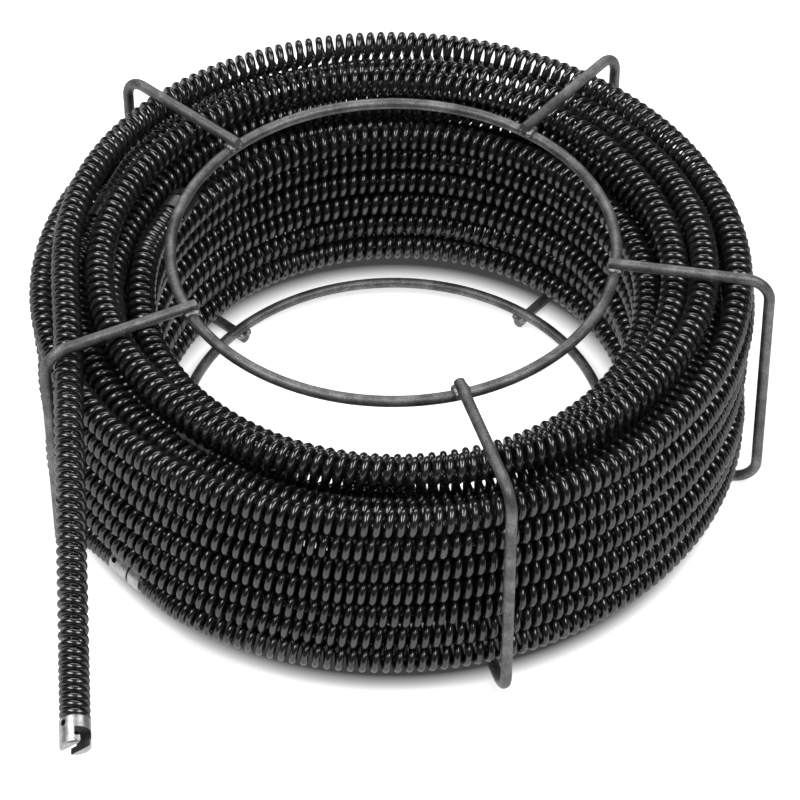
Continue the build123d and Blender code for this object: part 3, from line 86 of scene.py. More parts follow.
# Points (x, y, z) on the centreline of each section between its joints, in tenths of a millimetre
LAY = [[
    (-1356,144,1185), (-1364,-101,1180), (-1327,-353,1176), (-1245,-592,1172), (-1120,-810,1167),
    (-958,-998,1164), (-765,-1153,1160), (-547,-1272,1156), (-312,-1350,1153), (-67,-1385,1149),
    (180,-1375,1146), (422,-1321,1142), (650,-1225,1138), (857,-1090,1134), (1037,-920,1130),
    (1184,-720,1125), (1293,-498,1119), (1360,-259,1114), (1385,-13,1109), (1365,234,1103),
    (1301,473,1098), (1196,697,1093), (1052,899,1088), (875,1072,1082), (669,1209,1077),
    (441,1308,1072), (200,1363,1067), (-47,1372,1062), (-291,1336,1057), (-524,1256,1052),
    (-740,1134,1047), (-932,977,1042), (-1097,790,1036), (-1226,579,1030), (-1316,349,1024),
    (-1361,107,1019), (-1360,-140,1013), (-1313,-382,1008), (-1221,-611,1003), (-1089,-821,998),
    (-922,-1005,993), (-725,-1157,990), (-506,-1272,988), (-270,-1346,985), (-25,-1377,983),
    (222,-1362,980), (462,-1302,976), (688,-1199,972), (891,-1057,968), (1065,-882,963),
    (1206,-677,958), (1307,-452,953), (1367,-211,947), (1384,36,942), (1356,282,937), (1286,519,932),
    (1174,740,926), (1025,938,921), (843,1106,916), (635,1240,911), (406,1334,906), (163,1385,900),
    (-84,1393,895), (-329,1357,890), (-564,1278,885), (-780,1158,880), (-973,1002,874),
    (-1134,814,869), (-1260,601,864), (-1346,368,859), (-1389,125,855), (-1389,-123,850),
    (-1345,-367,845), (-1259,-599,840), (-1134,-813,836), (-973,-1001,832), (-781,-1157,828),
    (-564,-1277,825), (-330,-1357,822), (-85,-1394,819), (163,-1387,816), (405,-1336,812),
    (635,-1243,808), (844,-1111,804), (1026,-944,799), (1176,-746,794), (1288,-526,789),
    (1360,-289,784), (1389,-43,778), (1374,205,773), (1315,445,768), (1215,672,762), (1076,877,757),
    (903,1054,752), (701,1197,747), (477,1302,742), (238,1366,737), (-9,1386,731), (-256,1362,726),
    (-494,1294,721), (-716,1185,716), (-915,1038,711), (-1085,858,706), (-1220,651,701),
    (-1318,423,695), (-1374,179,690), (-1387,-73,685), (-1356,-324,679), (-1280,-558,675),
], [
    (-489,-1294,659), (-253,-1357,657), (3,-1376,654), (257,-1351,651), (499,-1281,647),
    (722,-1170,643), (919,-1021,638), (1085,-839,632), (1214,-629,626), (1302,-399,619),
    (1346,-157,612), (1346,91,605), (1304,336,599), (1223,570,594), (1104,788,590), (948,980,586),
    (761,1140,582), (547,1262,577), (314,1343,572), (69,1380,567), (-179,1372,562), (-421,1319,557),
    (-649,1224,552), (-857,1090,547), (-1037,920,542), (-1184,721,537), (-1294,499,531),
    (-1363,261,526), (-1389,15,521), (-1370,-232,517), (-1308,-471,512), (-1204,-696,507),
    (-1061,-898,503), (-885,-1071,499), (-680,-1209,495), (-454,-1309,491), (-213,-1367,487),
    (35,-1383,484), (281,-1355,481), (518,-1284,479), (739,-1173,476), (936,-1024,472),
    (1103,-841,468), (1235,-632,462), (1328,-403,456), (1379,-160,450), (1386,87,444),
    (1350,332,439), (1270,566,434), (1150,782,429), (993,974,423), (804,1134,418), (590,1258,413),
    (357,1342,408), (113,1383,403), (-134,1380,398), (-377,1334,392), (-608,1244,387),
    (-819,1115,382), (-1005,951,377), (-1158,757,372), (-1274,538,367), (-1350,303,362),
    (-1383,58,357), (-1371,-190,352), (-1316,-431,347), (-1218,-658,343), (-1082,-864,338),
    (-910,-1043,334), (-709,-1187,330), (-486,-1293,326), (-247,-1358,322), (0,-1377,319),
    (246,-1352,316), (484,-1283,314), (705,-1172,312), (903,-1024,309), (1072,-842,305),
    (1205,-634,299), (1300,-405,293), (1351,-163,287), (1358,84,281), (1320,328,276), (1238,562,271),
    (1116,777,265), (957,967,260), (766,1124,255), (550,1245,249), (316,1325,244), (71,1361,238),
    (-176,1353,233), (-418,1300,227), (-646,1204,221), (-853,1069,216), (-1033,898,211),
    (-1178,698,205), (-1285,475,200), (-1350,236,195), (-1370,-10,189), (-1346,-256,184),
    (-1277,-493,178), (-1167,-715,172), (-1021,-914,168), (-843,-1087,164), (-638,-1227,161),
    (-410,-1330,157), (-166,-1394,153), (87,-1413,150), (332,-1383,147),
], [
    (1214,-752,145), (1334,-539,145), (1416,-299,145), (1454,-48,145), (1447,203,145),
    (1396,446,145), (1305,677,145), (1177,889,145), (1017,1077,146), (827,1235,147), (614,1361,148),
    (382,1449,150), (140,1498,152), (-108,1506,155), (-353,1473,158), (-589,1400,161),
    (-811,1290,165), (-1011,1145,169), (-1185,969,173), (-1328,767,177), (-1436,544,182),
    (-1506,306,187), (-1536,61,192), (-1525,-186,197), (-1473,-428,203), (-1383,-658,208),
    (-1257,-871,213), (-1099,-1062,218), (-914,-1227,223), (-706,-1362,228), (-480,-1462,233),
    (-241,-1525,239), (5,-1548,244), (252,-1530,249), (493,-1472,253), (721,-1375,258),
    (930,-1243,262), (1116,-1080,266), (1273,-888,270), (1397,-674,274), (1485,-443,278),
    (1535,-200,281), (1545,47,284), (1516,293,288), (1449,531,291), (1344,755,295), (1205,960,298),
    (1034,1140,301), (838,1290,305), (620,1407,308), (386,1488,311), (142,1530,314), (-106,1534,318),
    (-350,1498,322), (-587,1423,325), (-808,1312,329), (-1009,1168,333), (-1184,993,338),
    (-1329,792,342), (-1439,571,347), (-1513,335,352), (-1547,90,357), (-1542,-158,362),
    (-1497,-401,367), (-1414,-634,372), (-1294,-851,377), (-1142,-1046,382), (-960,-1214,387),
    (-754,-1351,392), (-529,-1453,397), (-290,-1518,402), (-44,-1545,407), (203,-1532,412),
    (445,-1480,417), (676,-1390,422), (890,-1265,427), (1082,-1108,431), (1246,-923,435),
    (1378,-714,440), (1475,-486,443), (1535,-246,447), (1555,0,451), (1535,247,454), (1477,488,458),
    (1380,716,461), (1249,925,465), (1085,1111,469), (895,1269,472), (681,1394,476), (451,1484,480),
    (209,1537,483), (-39,1550,487), (-285,1524,491), (-524,1459,495), (-749,1357,499),
    (-956,1220,503), (-1138,1053,508), (-1291,859,512), (-1413,643,517), (-1498,410,522),
    (-1545,168,526), (-1554,-80,531), (-1523,-325,536), (-1454,-563,540), (-1348,-787,545),
    (-1208,-993,549), (-1036,-1175,554), (-836,-1326,558), (-615,-1440,562),
], [
    (587,-1458,584), (804,-1340,589), (1008,-1181,594), (1184,-994,600), (1325,-787,606),
    (1428,-562,613), (1492,-326,620), (1517,-82,628), (1502,164,635), (1450,406,641), (1365,639,645),
    (1247,857,646), (1097,1052,646), (917,1221,647), (712,1356,648), (487,1456,650), (247,1518,652),
    (1,1540,655), (-245,1522,659), (-486,1464,662), (-714,1369,666), (-923,1239,670),
    (-1110,1076,674), (-1268,887,679), (-1394,674,683), (-1484,445,688), (-1538,203,694),
    (-1553,-44,700), (-1529,-290,706), (-1465,-528,712), (-1363,-753,717), (-1226,-959,721),
    (-1058,-1140,725), (-863,-1292,728), (-647,-1412,732), (-415,-1497,735), (-172,-1544,739),
    (75,-1552,743), (320,-1521,748), (557,-1452,752), (780,-1346,757), (983,-1206,761),
    (1162,-1036,766), (1312,-839,771), (1428,-621,776), (1508,-387,782), (1549,-144,787),
    (1551,103,793), (1514,347,798), (1438,582,802), (1326,802,806), (1181,1002,810), (1006,1177,813),
    (806,1322,817), (586,1434,820), (351,1511,824), (107,1549,828), (-140,1548,832), (-383,1508,836),
    (-618,1430,840), (-837,1316,843), (-1035,1168,847), (-1206,991,851), (-1348,788,855),
    (-1455,566,858), (-1526,329,862), (-1558,84,867), (-1551,-163,872), (-1504,-405,876),
    (-1419,-637,881), (-1299,-853,885), (-1146,-1047,889), (-964,-1213,892), (-757,-1349,896),
    (-532,-1451,899), (-294,-1515,903), (-48,-1542,907), (199,-1529,911), (440,-1478,916),
    (671,-1389,920), (885,-1266,925), (1076,-1109,929), (1240,-925,934), (1372,-716,939),
    (1470,-489,945), (1529,-250,950), (1550,-4,956), (1530,243,961), (1472,482,966), (1376,710,970),
    (1244,919,975), (1081,1105,979), (891,1262,983), (677,1386,986), (446,1475,990), (205,1525,994),
    (-42,1534,998), (-286,1503,1003), (-522,1432,1007), (-743,1324,1011), (-946,1181,1014),
    (-1126,1011,1016), (-1279,817,1018), (-1400,603,1020), (-1486,373,1024), (-1533,130,1029),
    (-1541,-121,1036), (-1510,-373,1043), (-1441,-614,1048),
], [
    (-573,-1441,1066), (-339,-1517,1069), (-86,-1554,1073), (169,-1548,1077), (416,-1500,1081),
    (649,-1414,1085), (864,-1291,1090), (1057,-1137,1094), (1223,-954,1099), (1359,-747,1104),
    (1461,-521,1109), (1525,-282,1115), (1550,-36,1120), (1536,211,1126), (1483,453,1131),
    (1392,683,1136), (1265,895,1140), (1106,1085,1144), (919,1248,1148), (709,1378,1153),
    (480,1473,1157), (240,1531,1161), (-7,1550,1165), (-255,1529,1168), (-496,1470,1172),
    (-724,1373,1175), (-931,1240,1177), (-1110,1073,1179), (-1258,878,1181), (-1374,659,1183),
    (-1461,426,1187), (-1516,185,1193), (-1534,-60,1199), (-1509,-304,1205), (-1443,-541,1210),
    (-1338,-765,1215), (-1196,-969,1219), (-1024,-1147,1223), (-825,-1295,1226), (-606,-1409,1230),
    (-370,-1487,1233), (-126,-1525,1236), (122,-1524,1240), (366,-1483,1244), (600,-1403,1248),
    (818,-1286,1252), (1015,-1136,1257), (1185,-956,1262), (1324,-751,1267), (1428,-527,1272),
    (1494,-288,1278), (1522,-42,1283), (1509,205,1289), (1457,447,1294), (1367,677,1300),
    (1241,891,1305), (1083,1081,1309), (897,1244,1314), (686,1374,1319), (458,1470,1324),
    (217,1528,1328), (-29,1547,1333), (-276,1526,1337), (-516,1466,1341), (-744,1368,1346),
    (-953,1236,1349), (-1138,1072,1353), (-1296,881,1356), (-1421,668,1360), (-1512,437,1362),
    (-1565,195,1365), (-1580,-52,1367), (-1556,-298,1369), (-1495,-538,1371), (-1397,-766,1372),
    (-1266,-976,1374), (-1103,-1163,1374), (-914,-1323,1375), (-703,-1452,1375), (-475,-1547,1374),
    (-234,-1607,1373), (12,-1629,1371), (260,-1614,1369), (502,-1561,1366), (733,-1473,1364),
    (948,-1351,1361), (1143,-1198,1357), (1313,-1017,1354), (1454,-814,1350), (1562,-591,1345),
    (1637,-355,1341), (1675,-110,1336), (1677,137,1331), (1642,382,1326), (1572,620,1320),
    (1467,844,1314), (1330,1050,1309), (1164,1234,1303), (973,1392,1297), (761,1520,1291),
    (533,1616,1285), (293,1677,1279), (47,1704,1273), (-200,1696,1268), (-445,1652,1262),
    (-682,1574,1257), (-906,1462,1251), (-1110,1319,1247), (-1288,1145,1242),
], [
    (-1728,21,1221), (-1711,-225,1214), (-1655,-475,1207), (-1564,-714,1200), (-1442,-934,1193),
    (-1291,-1131,1187), (-1115,-1303,1181), (-915,-1449,1175), (-697,-1565,1169), (-465,-1649,1163),
    (-222,-1699,1157), (24,-1714,1151), (271,-1693,1145), (512,-1637,1139), (742,-1546,1133),
    (957,-1424,1128), (1152,-1272,1122), (1323,-1093,1116), (1467,-892,1111), (1580,-672,1105),
    (1659,-438,1099), (1704,-195,1094), (1714,53,1089), (1687,299,1083), (1626,538,1078),
    (1530,766,1073), (1403,979,1067), (1246,1170,1062), (1064,1337,1057), (859,1476,1052),
    (636,1583,1046), (400,1657,1041), (155,1695,1035), (-92,1697,1029), (-336,1662,1021),
    (-572,1591,1012), (-795,1485,1003), (-1001,1348,994), (-1186,1183,988), (-1350,997,985),
    (-1486,791,985), (-1591,568,986), (-1662,332,985), (-1696,87,983), (-1694,-161,979),
    (-1656,-406,973), (-1584,-643,967), (-1475,-865,963), (-1333,-1068,959), (-1162,-1249,955),
    (-969,-1403,950), (-756,-1529,944), (-527,-1623,938), (-287,-1682,932), (-41,-1707,925),
    (206,-1695,919), (449,-1648,913), (682,-1566,906), (902,-1451,900), (1102,-1306,893),
    (1279,-1134,887), (1430,-937,881), (1550,-721,875), (1639,-490,869), (1693,-249,863),
    (1712,-2,856), (1695,245,850), (1642,486,844), (1556,718,838), (1436,934,831), (1287,1131,824),
    (1111,1305,817), (911,1451,810), (693,1568,803), (460,1652,797), (218,1701,790), (-29,1715,784),
    (-275,1694,778), (-516,1637,772), (-746,1546,766), (-961,1423,761), (-1155,1271,755),
    (-1326,1092,750), (-1469,890,745), (-1582,670,740), (-1662,436,735), (-1707,192,730),
    (-1718,-55,725), (-1694,-302,719), (-1635,-542,714), (-1541,-770,709), (-1414,-982,704),
    (-1257,-1174,700), (-1074,-1341,695), (-870,-1480,690), (-647,-1589,685), (-412,-1665,681),
    (-168,-1707,676), (80,-1714,671), (326,-1686,667), (565,-1623,662), (792,-1524,656),
    (1001,-1391,649), (1189,-1230,642), (1352,-1044,635), (1485,-836,628), (1586,-608,620),
    (1654,-366,612), (1689,-117,604),
], [
    (1357,1041,580), (1200,1228,575), (1008,1394,571), (791,1528,566), (560,1627,561),
    (319,1689,556), (73,1716,551), (-174,1707,545), (-418,1663,539), (-653,1586,533),
    (-875,1475,528), (-1078,1334,522), (-1260,1165,516), (-1415,972,510), (-1540,759,505),
    (-1633,530,499), (-1692,289,494), (-1716,43,489), (-1703,-205,483), (-1655,-448,478),
    (-1572,-681,473), (-1457,-900,468), (-1311,-1100,463), (-1138,-1277,458), (-941,-1428,453),
    (-725,-1549,448), (-493,-1637,443), (-252,-1691,438), (-5,-1710,433), (242,-1693,428),
    (484,-1641,423), (716,-1554,418), (934,-1435,413), (1131,-1286,408), (1305,-1109,403),
    (1451,-910,399), (1566,-690,394), (1648,-457,390), (1696,-214,386), (1708,34,381),
    (1684,280,377), (1624,520,373), (1531,750,368), (1405,963,363), (1250,1156,359), (1068,1325,354),
    (865,1466,349), (643,1575,344), (407,1652,338), (163,1694,333), (-84,1701,327), (-330,1671,322),
    (-569,1607,316), (-796,1508,310), (-1006,1377,304), (-1195,1217,298), (-1359,1031,292),
    (-1493,823,286), (-1597,598,280), (-1666,360,274), (-1699,115,268), (-1697,-133,263),
    (-1657,-377,258), (-1582,-612,254), (-1473,-834,250), (-1334,-1039,245), (-1169,-1224,240),
    (-980,-1385,232), (-771,-1517,224), (-545,-1618,217), (-307,-1684,210), (-61,-1715,203),
    (186,-1710,198), (431,-1669,193), (667,-1594,188), (889,-1486,184), (1095,-1348,180),
    (1278,-1181,177), (1437,-991,174), (1567,-780,171), (1666,-553,169), (1732,-314,167),
    (1764,-68,166), (1761,179,165), (1724,424,164), (1653,662,164), (1550,887,164), (1417,1095,164),
    (1255,1284,164), (1070,1448,165), (864,1585,165), (640,1692,167), (405,1768,168), (161,1811,169),
    (-87,1821,171), (-333,1796,173), (-574,1739,175), (-805,1649,178), (-1022,1529,180),
    (-1221,1381,183), (-1398,1208,186), (-1550,1013,189), (-1675,799,191), (-1770,571,194),
    (-1834,332,197), (-1867,85,200), (-1870,-167,203), (-1841,-418,206), (-1779,-662,209),
], [
    (-1008,-1593,226), (-791,-1713,230), (-551,-1805,234), (-302,-1863,238), (-51,-1885,242),
    (197,-1874,246), (441,-1830,249), (677,-1755,253), (902,-1650,257), (1111,-1517,261),
    (1301,-1358,264), (1468,-1175,268), (1610,-971,272), (1723,-751,276), (1807,-517,279),
    (1859,-275,283), (1879,-28,287), (1866,220,290), (1821,464,294), (1744,699,297), (1636,923,301),
    (1500,1130,304), (1338,1318,308), (1153,1483,311), (947,1622,315), (726,1732,318),
    (491,1813,322), (248,1861,325), (0,1878,329), (-247,1862,332), (-490,1813,336), (-725,1732,340),
    (-947,1622,344), (-1152,1483,347), (-1338,1318,351), (-1500,1131,355), (-1635,923,358),
    (-1743,700,362), (-1819,464,366), (-1864,220,370), (-1877,-28,373), (-1856,-275,377),
    (-1804,-517,380), (-1719,-750,384), (-1605,-970,387), (-1463,-1174,391), (-1295,-1356,394),
    (-1104,-1515,398), (-895,-1647,401), (-670,-1751,404), (-433,-1824,408), (-188,-1866,411),
    (60,-1875,414), (307,-1851,418), (548,-1795,421), (780,-1707,425), (998,-1590,428),
    (1199,-1444,431), (1379,-1273,435), (1534,-1080,438), (1663,-868,442), (1763,-641,445),
    (1831,-403,449), (1868,-157,452), (1872,91,455), (1844,337,459), (1783,577,462), (1691,807,466),
    (1569,1024,469), (1420,1222,472), (1246,1399,476), (1050,1551,479), (836,1676,482),
    (608,1772,486), (369,1838,489), (123,1871,493), (-125,1872,496), (-371,1840,500),
    (-611,1776,504), (-840,1681,507), (-1054,1557,511), (-1251,1405,515), (-1425,1229,519),
    (-1574,1031,522), (-1696,815,526), (-1788,585,530), (-1849,344,533), (-1877,98,537),
    (-1873,-150,541), (-1836,-395,544), (-1768,-634,548), (-1668,-861,551), (-1540,-1073,555),
    (-1384,-1266,558), (-1205,-1437,562), (-1005,-1583,565), (-787,-1702,569), (-555,-1791,572),
    (-314,-1849,575), (-68,-1874,579), (180,-1868,583), (425,-1828,586), (663,-1757,590),
    (888,-1656,593), (1100,-1527,597), (1293,-1370,601), (1468,-1189,605), (1618,-985,609),
    (1739,-764,613),
], [
    (1837,444,631), (1764,680,634), (1655,912,637), (1516,1127,640), (1351,1318,643),
    (1165,1483,646), (960,1621,649), (738,1732,652), (504,1813,655), (260,1862,658), (13,1880,662),
    (-235,1865,665), (-478,1817,668), (-714,1738,672), (-937,1629,675), (-1143,1492,679),
    (-1330,1328,683), (-1493,1142,686), (-1631,935,690), (-1740,712,694), (-1820,477,698),
    (-1868,234,701), (-1883,-14,705), (-1867,-262,709), (-1818,-505,713), (-1737,-740,716),
    (-1624,-960,720), (-1483,-1164,723), (-1315,-1347,726), (-1125,-1506,730), (-915,-1639,733),
    (-690,-1744,736), (-453,-1818,740), (-208,-1860,743), (40,-1870,746), (287,-1847,750),
    (529,-1792,753), (761,-1706,757), (981,-1589,761), (1183,-1445,764), (1364,-1276,768),
    (1521,-1084,772), (1651,-872,776), (1753,-646,780), (1824,-408,784), (1863,-163,788),
    (1869,85,791), (1843,332,795), (1784,573,798), (1694,804,801), (1575,1022,804), (1427,1221,807),
    (1254,1399,810), (1059,1553,814), (845,1679,817), (617,1775,820), (377,1839,823), (131,1872,826),
    (-117,1871,830), (-363,1838,833), (-602,1773,836), (-831,1676,840), (-1045,1550,843),
    (-1240,1397,847), (-1414,1220,850), (-1562,1021,854), (-1683,804,858), (-1774,573,862),
    (-1834,332,865), (-1861,86,869), (-1856,-162,873), (-1818,-408,877), (-1748,-646,881),
    (-1647,-872,885), (-1517,-1084,888), (-1360,-1276,892), (-1179,-1446,896), (-977,-1591,900),
    (-758,-1708,904), (-526,-1794,908), (-284,-1850,912), (-37,-1872,915), (211,-1861,919),
    (455,-1817,923), (691,-1740,927), (915,-1633,931), (1122,-1497,935), (1310,-1335,939),
    (1475,-1149,943), (1614,-943,947), (1724,-721,950), (1804,-486,954), (1852,-243,958),
    (1868,5,962), (1851,252,965), (1802,495,969), (1721,730,972), (1609,952,975), (1470,1157,979),
    (1304,1342,982), (1116,1504,985), (908,1639,989), (684,1746,992), (449,1823,995), (204,1869,999),
    (-45,1884,1002), (-295,1865,1006), (-540,1811,1010), (-772,1722,1014),
], [
    (-1654,890,1030), (-1761,670,1032), (-1838,427,1034), (-1879,176,1037), (-1884,-75,1040),
    (-1856,-322,1043), (-1795,-561,1046), (-1705,-791,1049), (-1586,-1007,1052), (-1440,-1207,1056),
    (-1269,-1385,1060), (-1076,-1540,1064), (-864,-1668,1068), (-638,-1767,1072), (-400,-1836,1076),
    (-156,-1873,1079), (91,-1877,1083), (337,-1849,1087), (577,-1790,1091), (807,-1699,1095),
    (1023,-1579,1098), (1221,-1432,1102), (1399,-1259,1106), (1552,-1066,1110), (1679,-853,1113),
    (1777,-626,1117), (1844,-388,1121), (1879,-144,1125), (1882,104,1128), (1853,349,1132),
    (1791,589,1135), (1699,818,1139), (1578,1033,1142), (1429,1231,1146), (1256,1407,1149),
    (1061,1560,1152), (848,1685,1156), (621,1782,1159), (382,1848,1163), (138,1882,1166),
    (-110,1884,1169), (-355,1854,1173), (-594,1793,1176), (-824,1701,1180), (-1040,1580,1183),
    (-1238,1432,1187), (-1415,1259,1190), (-1568,1065,1193), (-1694,853,1195), (-1792,625,1198),
    (-1858,387,1200), (-1891,142,1203), (-1892,-105,1205), (-1859,-350,1208), (-1794,-588,1211),
    (-1698,-816,1213), (-1574,-1030,1217), (-1424,-1227,1222), (-1249,-1402,1227), (-1054,-1553,1232),
    (-840,-1677,1236), (-612,-1772,1240), (-373,-1837,1245), (-128,-1869,1249), (119,-1869,1253),
    (364,-1836,1257), (602,-1771,1261), (830,-1675,1266), (1044,-1550,1270), (1239,-1398,1274),
    (1412,-1222,1279), (1560,-1024,1283), (1681,-809,1287), (1773,-579,1291), (1833,-339,1295),
    (1861,-94,1300), (1857,153,1304), (1820,398,1308), (1751,635,1312), (1651,861,1316),
    (1522,1072,1321), (1366,1264,1325), (1186,1434,1329), (985,1578,1333), (767,1693,1338),
    (534,1778,1342), (293,1831,1346), (47,1851,1350), (-200,1837,1355), (-443,1791,1359),
    (-677,1711,1364), (-898,1601,1369), (-1102,1461,1374), (-1286,1295,1378), (-1444,1105,1381),
    (-1573,895,1383), (-1670,669,1384), (-1733,432,1385), (-1763,189,1386), (-1764,-58,1388),
    (-1746,-307,1389), (-1720,-557,1388), (-1700,-808,1381), (-1683,-1059,1358), (-1667,-1311,1316),
    (-1650,-1562,1257), (-1634,-1813,1193), (-1617,-2064,1128), (-1600,-2315,1063),
]]


# ---------------------------------------------------------------- materials
class Nodes:
    """A material under construction."""

    def __init__(self, name):
        self.mat = bpy.data.materials.new(name)
        self.mat.use_nodes = True
        self.tree = self.mat.node_tree
        self.bsdf = self.tree.nodes["Principled BSDF"]

    def add(self, kind, **inputs):
        """Adds a node.  A leading _ marks a setting; __ stands for a space in a socket's name."""
        node = self.tree.nodes.new(kind)
        for key, value in inputs.items():
            if key.startswith("_"):
                setattr(node, key[1:], value)
            else:
                self.put(value, node.inputs[key.replace("__", " ")])
        return node

    def put(self, value, socket):
        if isinstance(value, bpy.types.NodeSocket):
            self.tree.links.new(value, socket)
        else:
            socket.default_value = value

    def place(self):
        return self.add("ShaderNodeTexCoord").outputs["Object"]

    def noise(self, scale, detail=4.0, rough=0.55):
        node = self.add("ShaderNodeTexNoise", Scale=scale, Detail=detail, Roughness=rough)
        self.put(self.place(), node.inputs["Vector"])
        return node.outputs["Fac"]

    def ramp(self, fac, *stops):
        """Each stop: position, grey or RGB."""
        node = self.add("ShaderNodeValToRGB", Fac=fac)
        elements = node.color_ramp.elements
        while len(elements) < len(stops):
            elements.new(0.5)
        for element, (position, c) in zip(elements, stops):
            element.position = position
            element.color = (c, c, c, 1) if isinstance(c, float) else (*c, 1)
        return node.outputs["Color"]

    def math(self, op, a, b=0.0, clamp=False):
        node = self.add("ShaderNodeMath", _operation=op, _use_clamp=clamp)
        self.put(a, node.inputs[0])
        self.put(b, node.inputs[1])
        return node.outputs[0]

    def times(self, value, by):
        return self.math("MULTIPLY", value, by)

    def plus(self, value, more):
        return self.math("ADD", value, more)

    def vector(self, op, *values):
        node = self.add("ShaderNodeVectorMath", _operation=op)
        for value, socket in zip(values, node.inputs):
            self.put(value, socket)
        return node.outputs

    def mix(self, fac, a, b):
        node = self.add("ShaderNodeMix", _data_type="RGBA")
        for value, socket in ((fac, 0), (a, 6), (b, 7)):    # the colour sockets are 6 and 7
            self.put(value, node.inputs[socket])
        return node.outputs[2]

    def bump(self, height, strength, distance):
        node = self.add("ShaderNodeBump", Strength=strength, Distance=distance)
        self.put(height, node.inputs["Height"])
        self.put(node.outputs["Normal"], self.bsdf.inputs["Normal"])

    def set(self, **inputs):
        for key, value in inputs.items():
            self.put(value, self.bsdf.inputs[key.replace("__", " ")])
        return self.mat


def wire_material():
    m = Nodes("cable_wire")
    film = m.noise(scale=95.0, detail=3.0)      # where the oil film is thicker
    grime = m.noise(scale=700.0, detail=5.0, rough=0.7)     # fine dull specks
    base = m.ramp(film, (0.30, (0.092, 0.092, 0.096)), (0.72, (0.150, 0.150, 0.155)))
    speck = m.ramp(grime, (0.60, 0.0), (0.74, 1.0))
    base = m.mix(fac=m.times(speck, by=0.25), a=base, b=(0.20, 0.20, 0.205, 1))
    rough = m.plus(m.times(film, by=0.10), m.times(speck, by=0.12))
    m.bump(grime, strength=0.03, distance=0.0001)
    return m.set(Base__Color=base, Metallic=0.9, Roughness=m.plus(rough, more=0.17),
                 Specular__IOR__Level=0.5)


def rod_material():
    m = Nodes("carrier_rod")
    broad = m.noise(scale=70.0, detail=6.0, rough=0.65)
    fine = m.noise(scale=1100.0, detail=6.0, rough=0.75)
    mottle = m.plus(m.times(broad, by=0.55), m.times(fine, by=0.45))
    base = m.ramp(mottle, (0.40, (0.10, 0.10, 0.103)), (0.50, (0.20, 0.20, 0.203)),
                  (0.59, (0.36, 0.36, 0.363)))
    m.bump(fine, strength=0.5, distance=0.0004)
    return m.set(Base__Color=base, Metallic=0.75,
                 Roughness=m.plus(m.times(broad, by=0.22), more=0.36))


def weld_material():
    m = Nodes("weld_metal")
    lumps = m.noise(scale=420.0, detail=4.0, rough=0.6)
    heat = m.noise(scale=160.0, detail=3.0)
    base = m.ramp(heat, (0.35, (0.20, 0.20, 0.21)), (0.68, (0.50, 0.50, 0.51)))
    m.bump(lumps, strength=0.8, distance=0.0008)
    return m.set(Base__Color=base, Metallic=0.9,
                 Roughness=m.plus(m.times(lumps, by=0.3), more=0.26))


SLOT_RADIUS = 0.00745       # metal nearer the axis than this lies within the slot, where shade is painted
SLOT_LIP = 0.0003           # the slot's painted shade starts this far behind the face
FEMALE_REACH = 0.0149       # and ends this far behind it
JOINT_SHADE_HALF = 0.0007           # painted shade of the joint line lies this far either side of a mated face


def coupling_material(name, face, heading, reach_in, mated, oiled_and_shaded):
    """Bright turned metal.  face and heading are the mating face's centre and the way the cable runs
    there, so that the turning marks go round the body, the slot's hollow is painted dark as shade and,
    on a mated pair, the joint line is painted dark as shade.  stained darkens couplings in the coil
    with oil and painted shade."""
    m = Nodes(name)
    rel = m.vector("SUBTRACT", m.place(), tuple(face))["Vector"]
    along = m.vector("DOT_PRODUCT", rel, tuple(heading))["Value"]      # metres beyond the face
    length = m.vector("LENGTH", rel)["Value"]
    across_squared = m.math("SUBTRACT", m.math("POWER", length, 2.0), m.math("POWER", along, 2.0))
    radius = m.math("SQRT", m.math("MAXIMUM", across_squared, 0.0))
    ring = m.add("ShaderNodeTexNoise", _noise_dimensions="1D", Scale=5200.0, Detail=3.0)
    m.put(along, ring.inputs["W"])
    marks = ring.outputs["Fac"]
    cloud = m.noise(scale=330.0, detail=4.0, rough=0.6)
    base = m.ramp(m.plus(m.times(marks, by=0.45), m.times(cloud, by=0.55)),
                  (0.38, (0.42, 0.42, 0.425)), (0.50, (0.66, 0.66, 0.665)), (0.62, (0.84, 0.84, 0.84)))
    # the hollow of the slot: painted shade in its colour, and more roughness
    slot_shade = m.times(m.math("LESS_THAN", radius, SLOT_RADIUS),
                     m.times(m.math("LESS_THAN", along, -SLOT_LIP),
                             m.math("GREATER_THAN", along, -reach_in)))
    base = m.mix(fac=m.times(slot_shade, by=0.88), a=base, b=(0.055, 0.055, 0.058, 1))
    if mated:
        # painted shade in the crease where the two halves meet
        joint_shade = m.times(m.math("GREATER_THAN", along, -JOINT_SHADE_HALF), m.math("LESS_THAN", along, JOINT_SHADE_HALF))
        base = m.mix(fac=m.times(joint_shade, by=0.93), a=base, b=(0.02, 0.02, 0.02, 1))
    if oiled_and_shaded:
        # oil and painted shade on the couplings deep in the coil
        oil_and_shade = m.ramp(m.noise(scale=120.0, detail=5.0, rough=0.65), (0.30, 0.82), (0.72, 0.97))
        base = m.mix(fac=m.times(oil_and_shade, by=1.0), a=base, b=(0.06, 0.058, 0.055, 1))
    m.bump(m.plus(marks, m.times(cloud, by=1.5)), strength=0.35, distance=0.00015)
    rough = m.plus(m.times(cloud, by=0.30), m.plus(0.24, m.times(slot_shade, by=0.25)))
    return m.set(Base__Color=base, Metallic=0.92, Roughness=rough)


def plain_steel(name, low, high, scale, rough):
    m = Nodes(name)
    grain = m.noise(scale=scale, detail=5.0, rough=0.6)
    m.bump(grain, strength=0.2, distance=0.0001)
    return m.set(Base__Color=m.ramp(grain, (0.35, low), (0.65, high)), Metallic=1.0,
                 Roughness=m.plus(m.times(grain, by=0.25), rough))


def dress(node, material):
    node.data.materials.clear()
    node.data.materials.append(material)


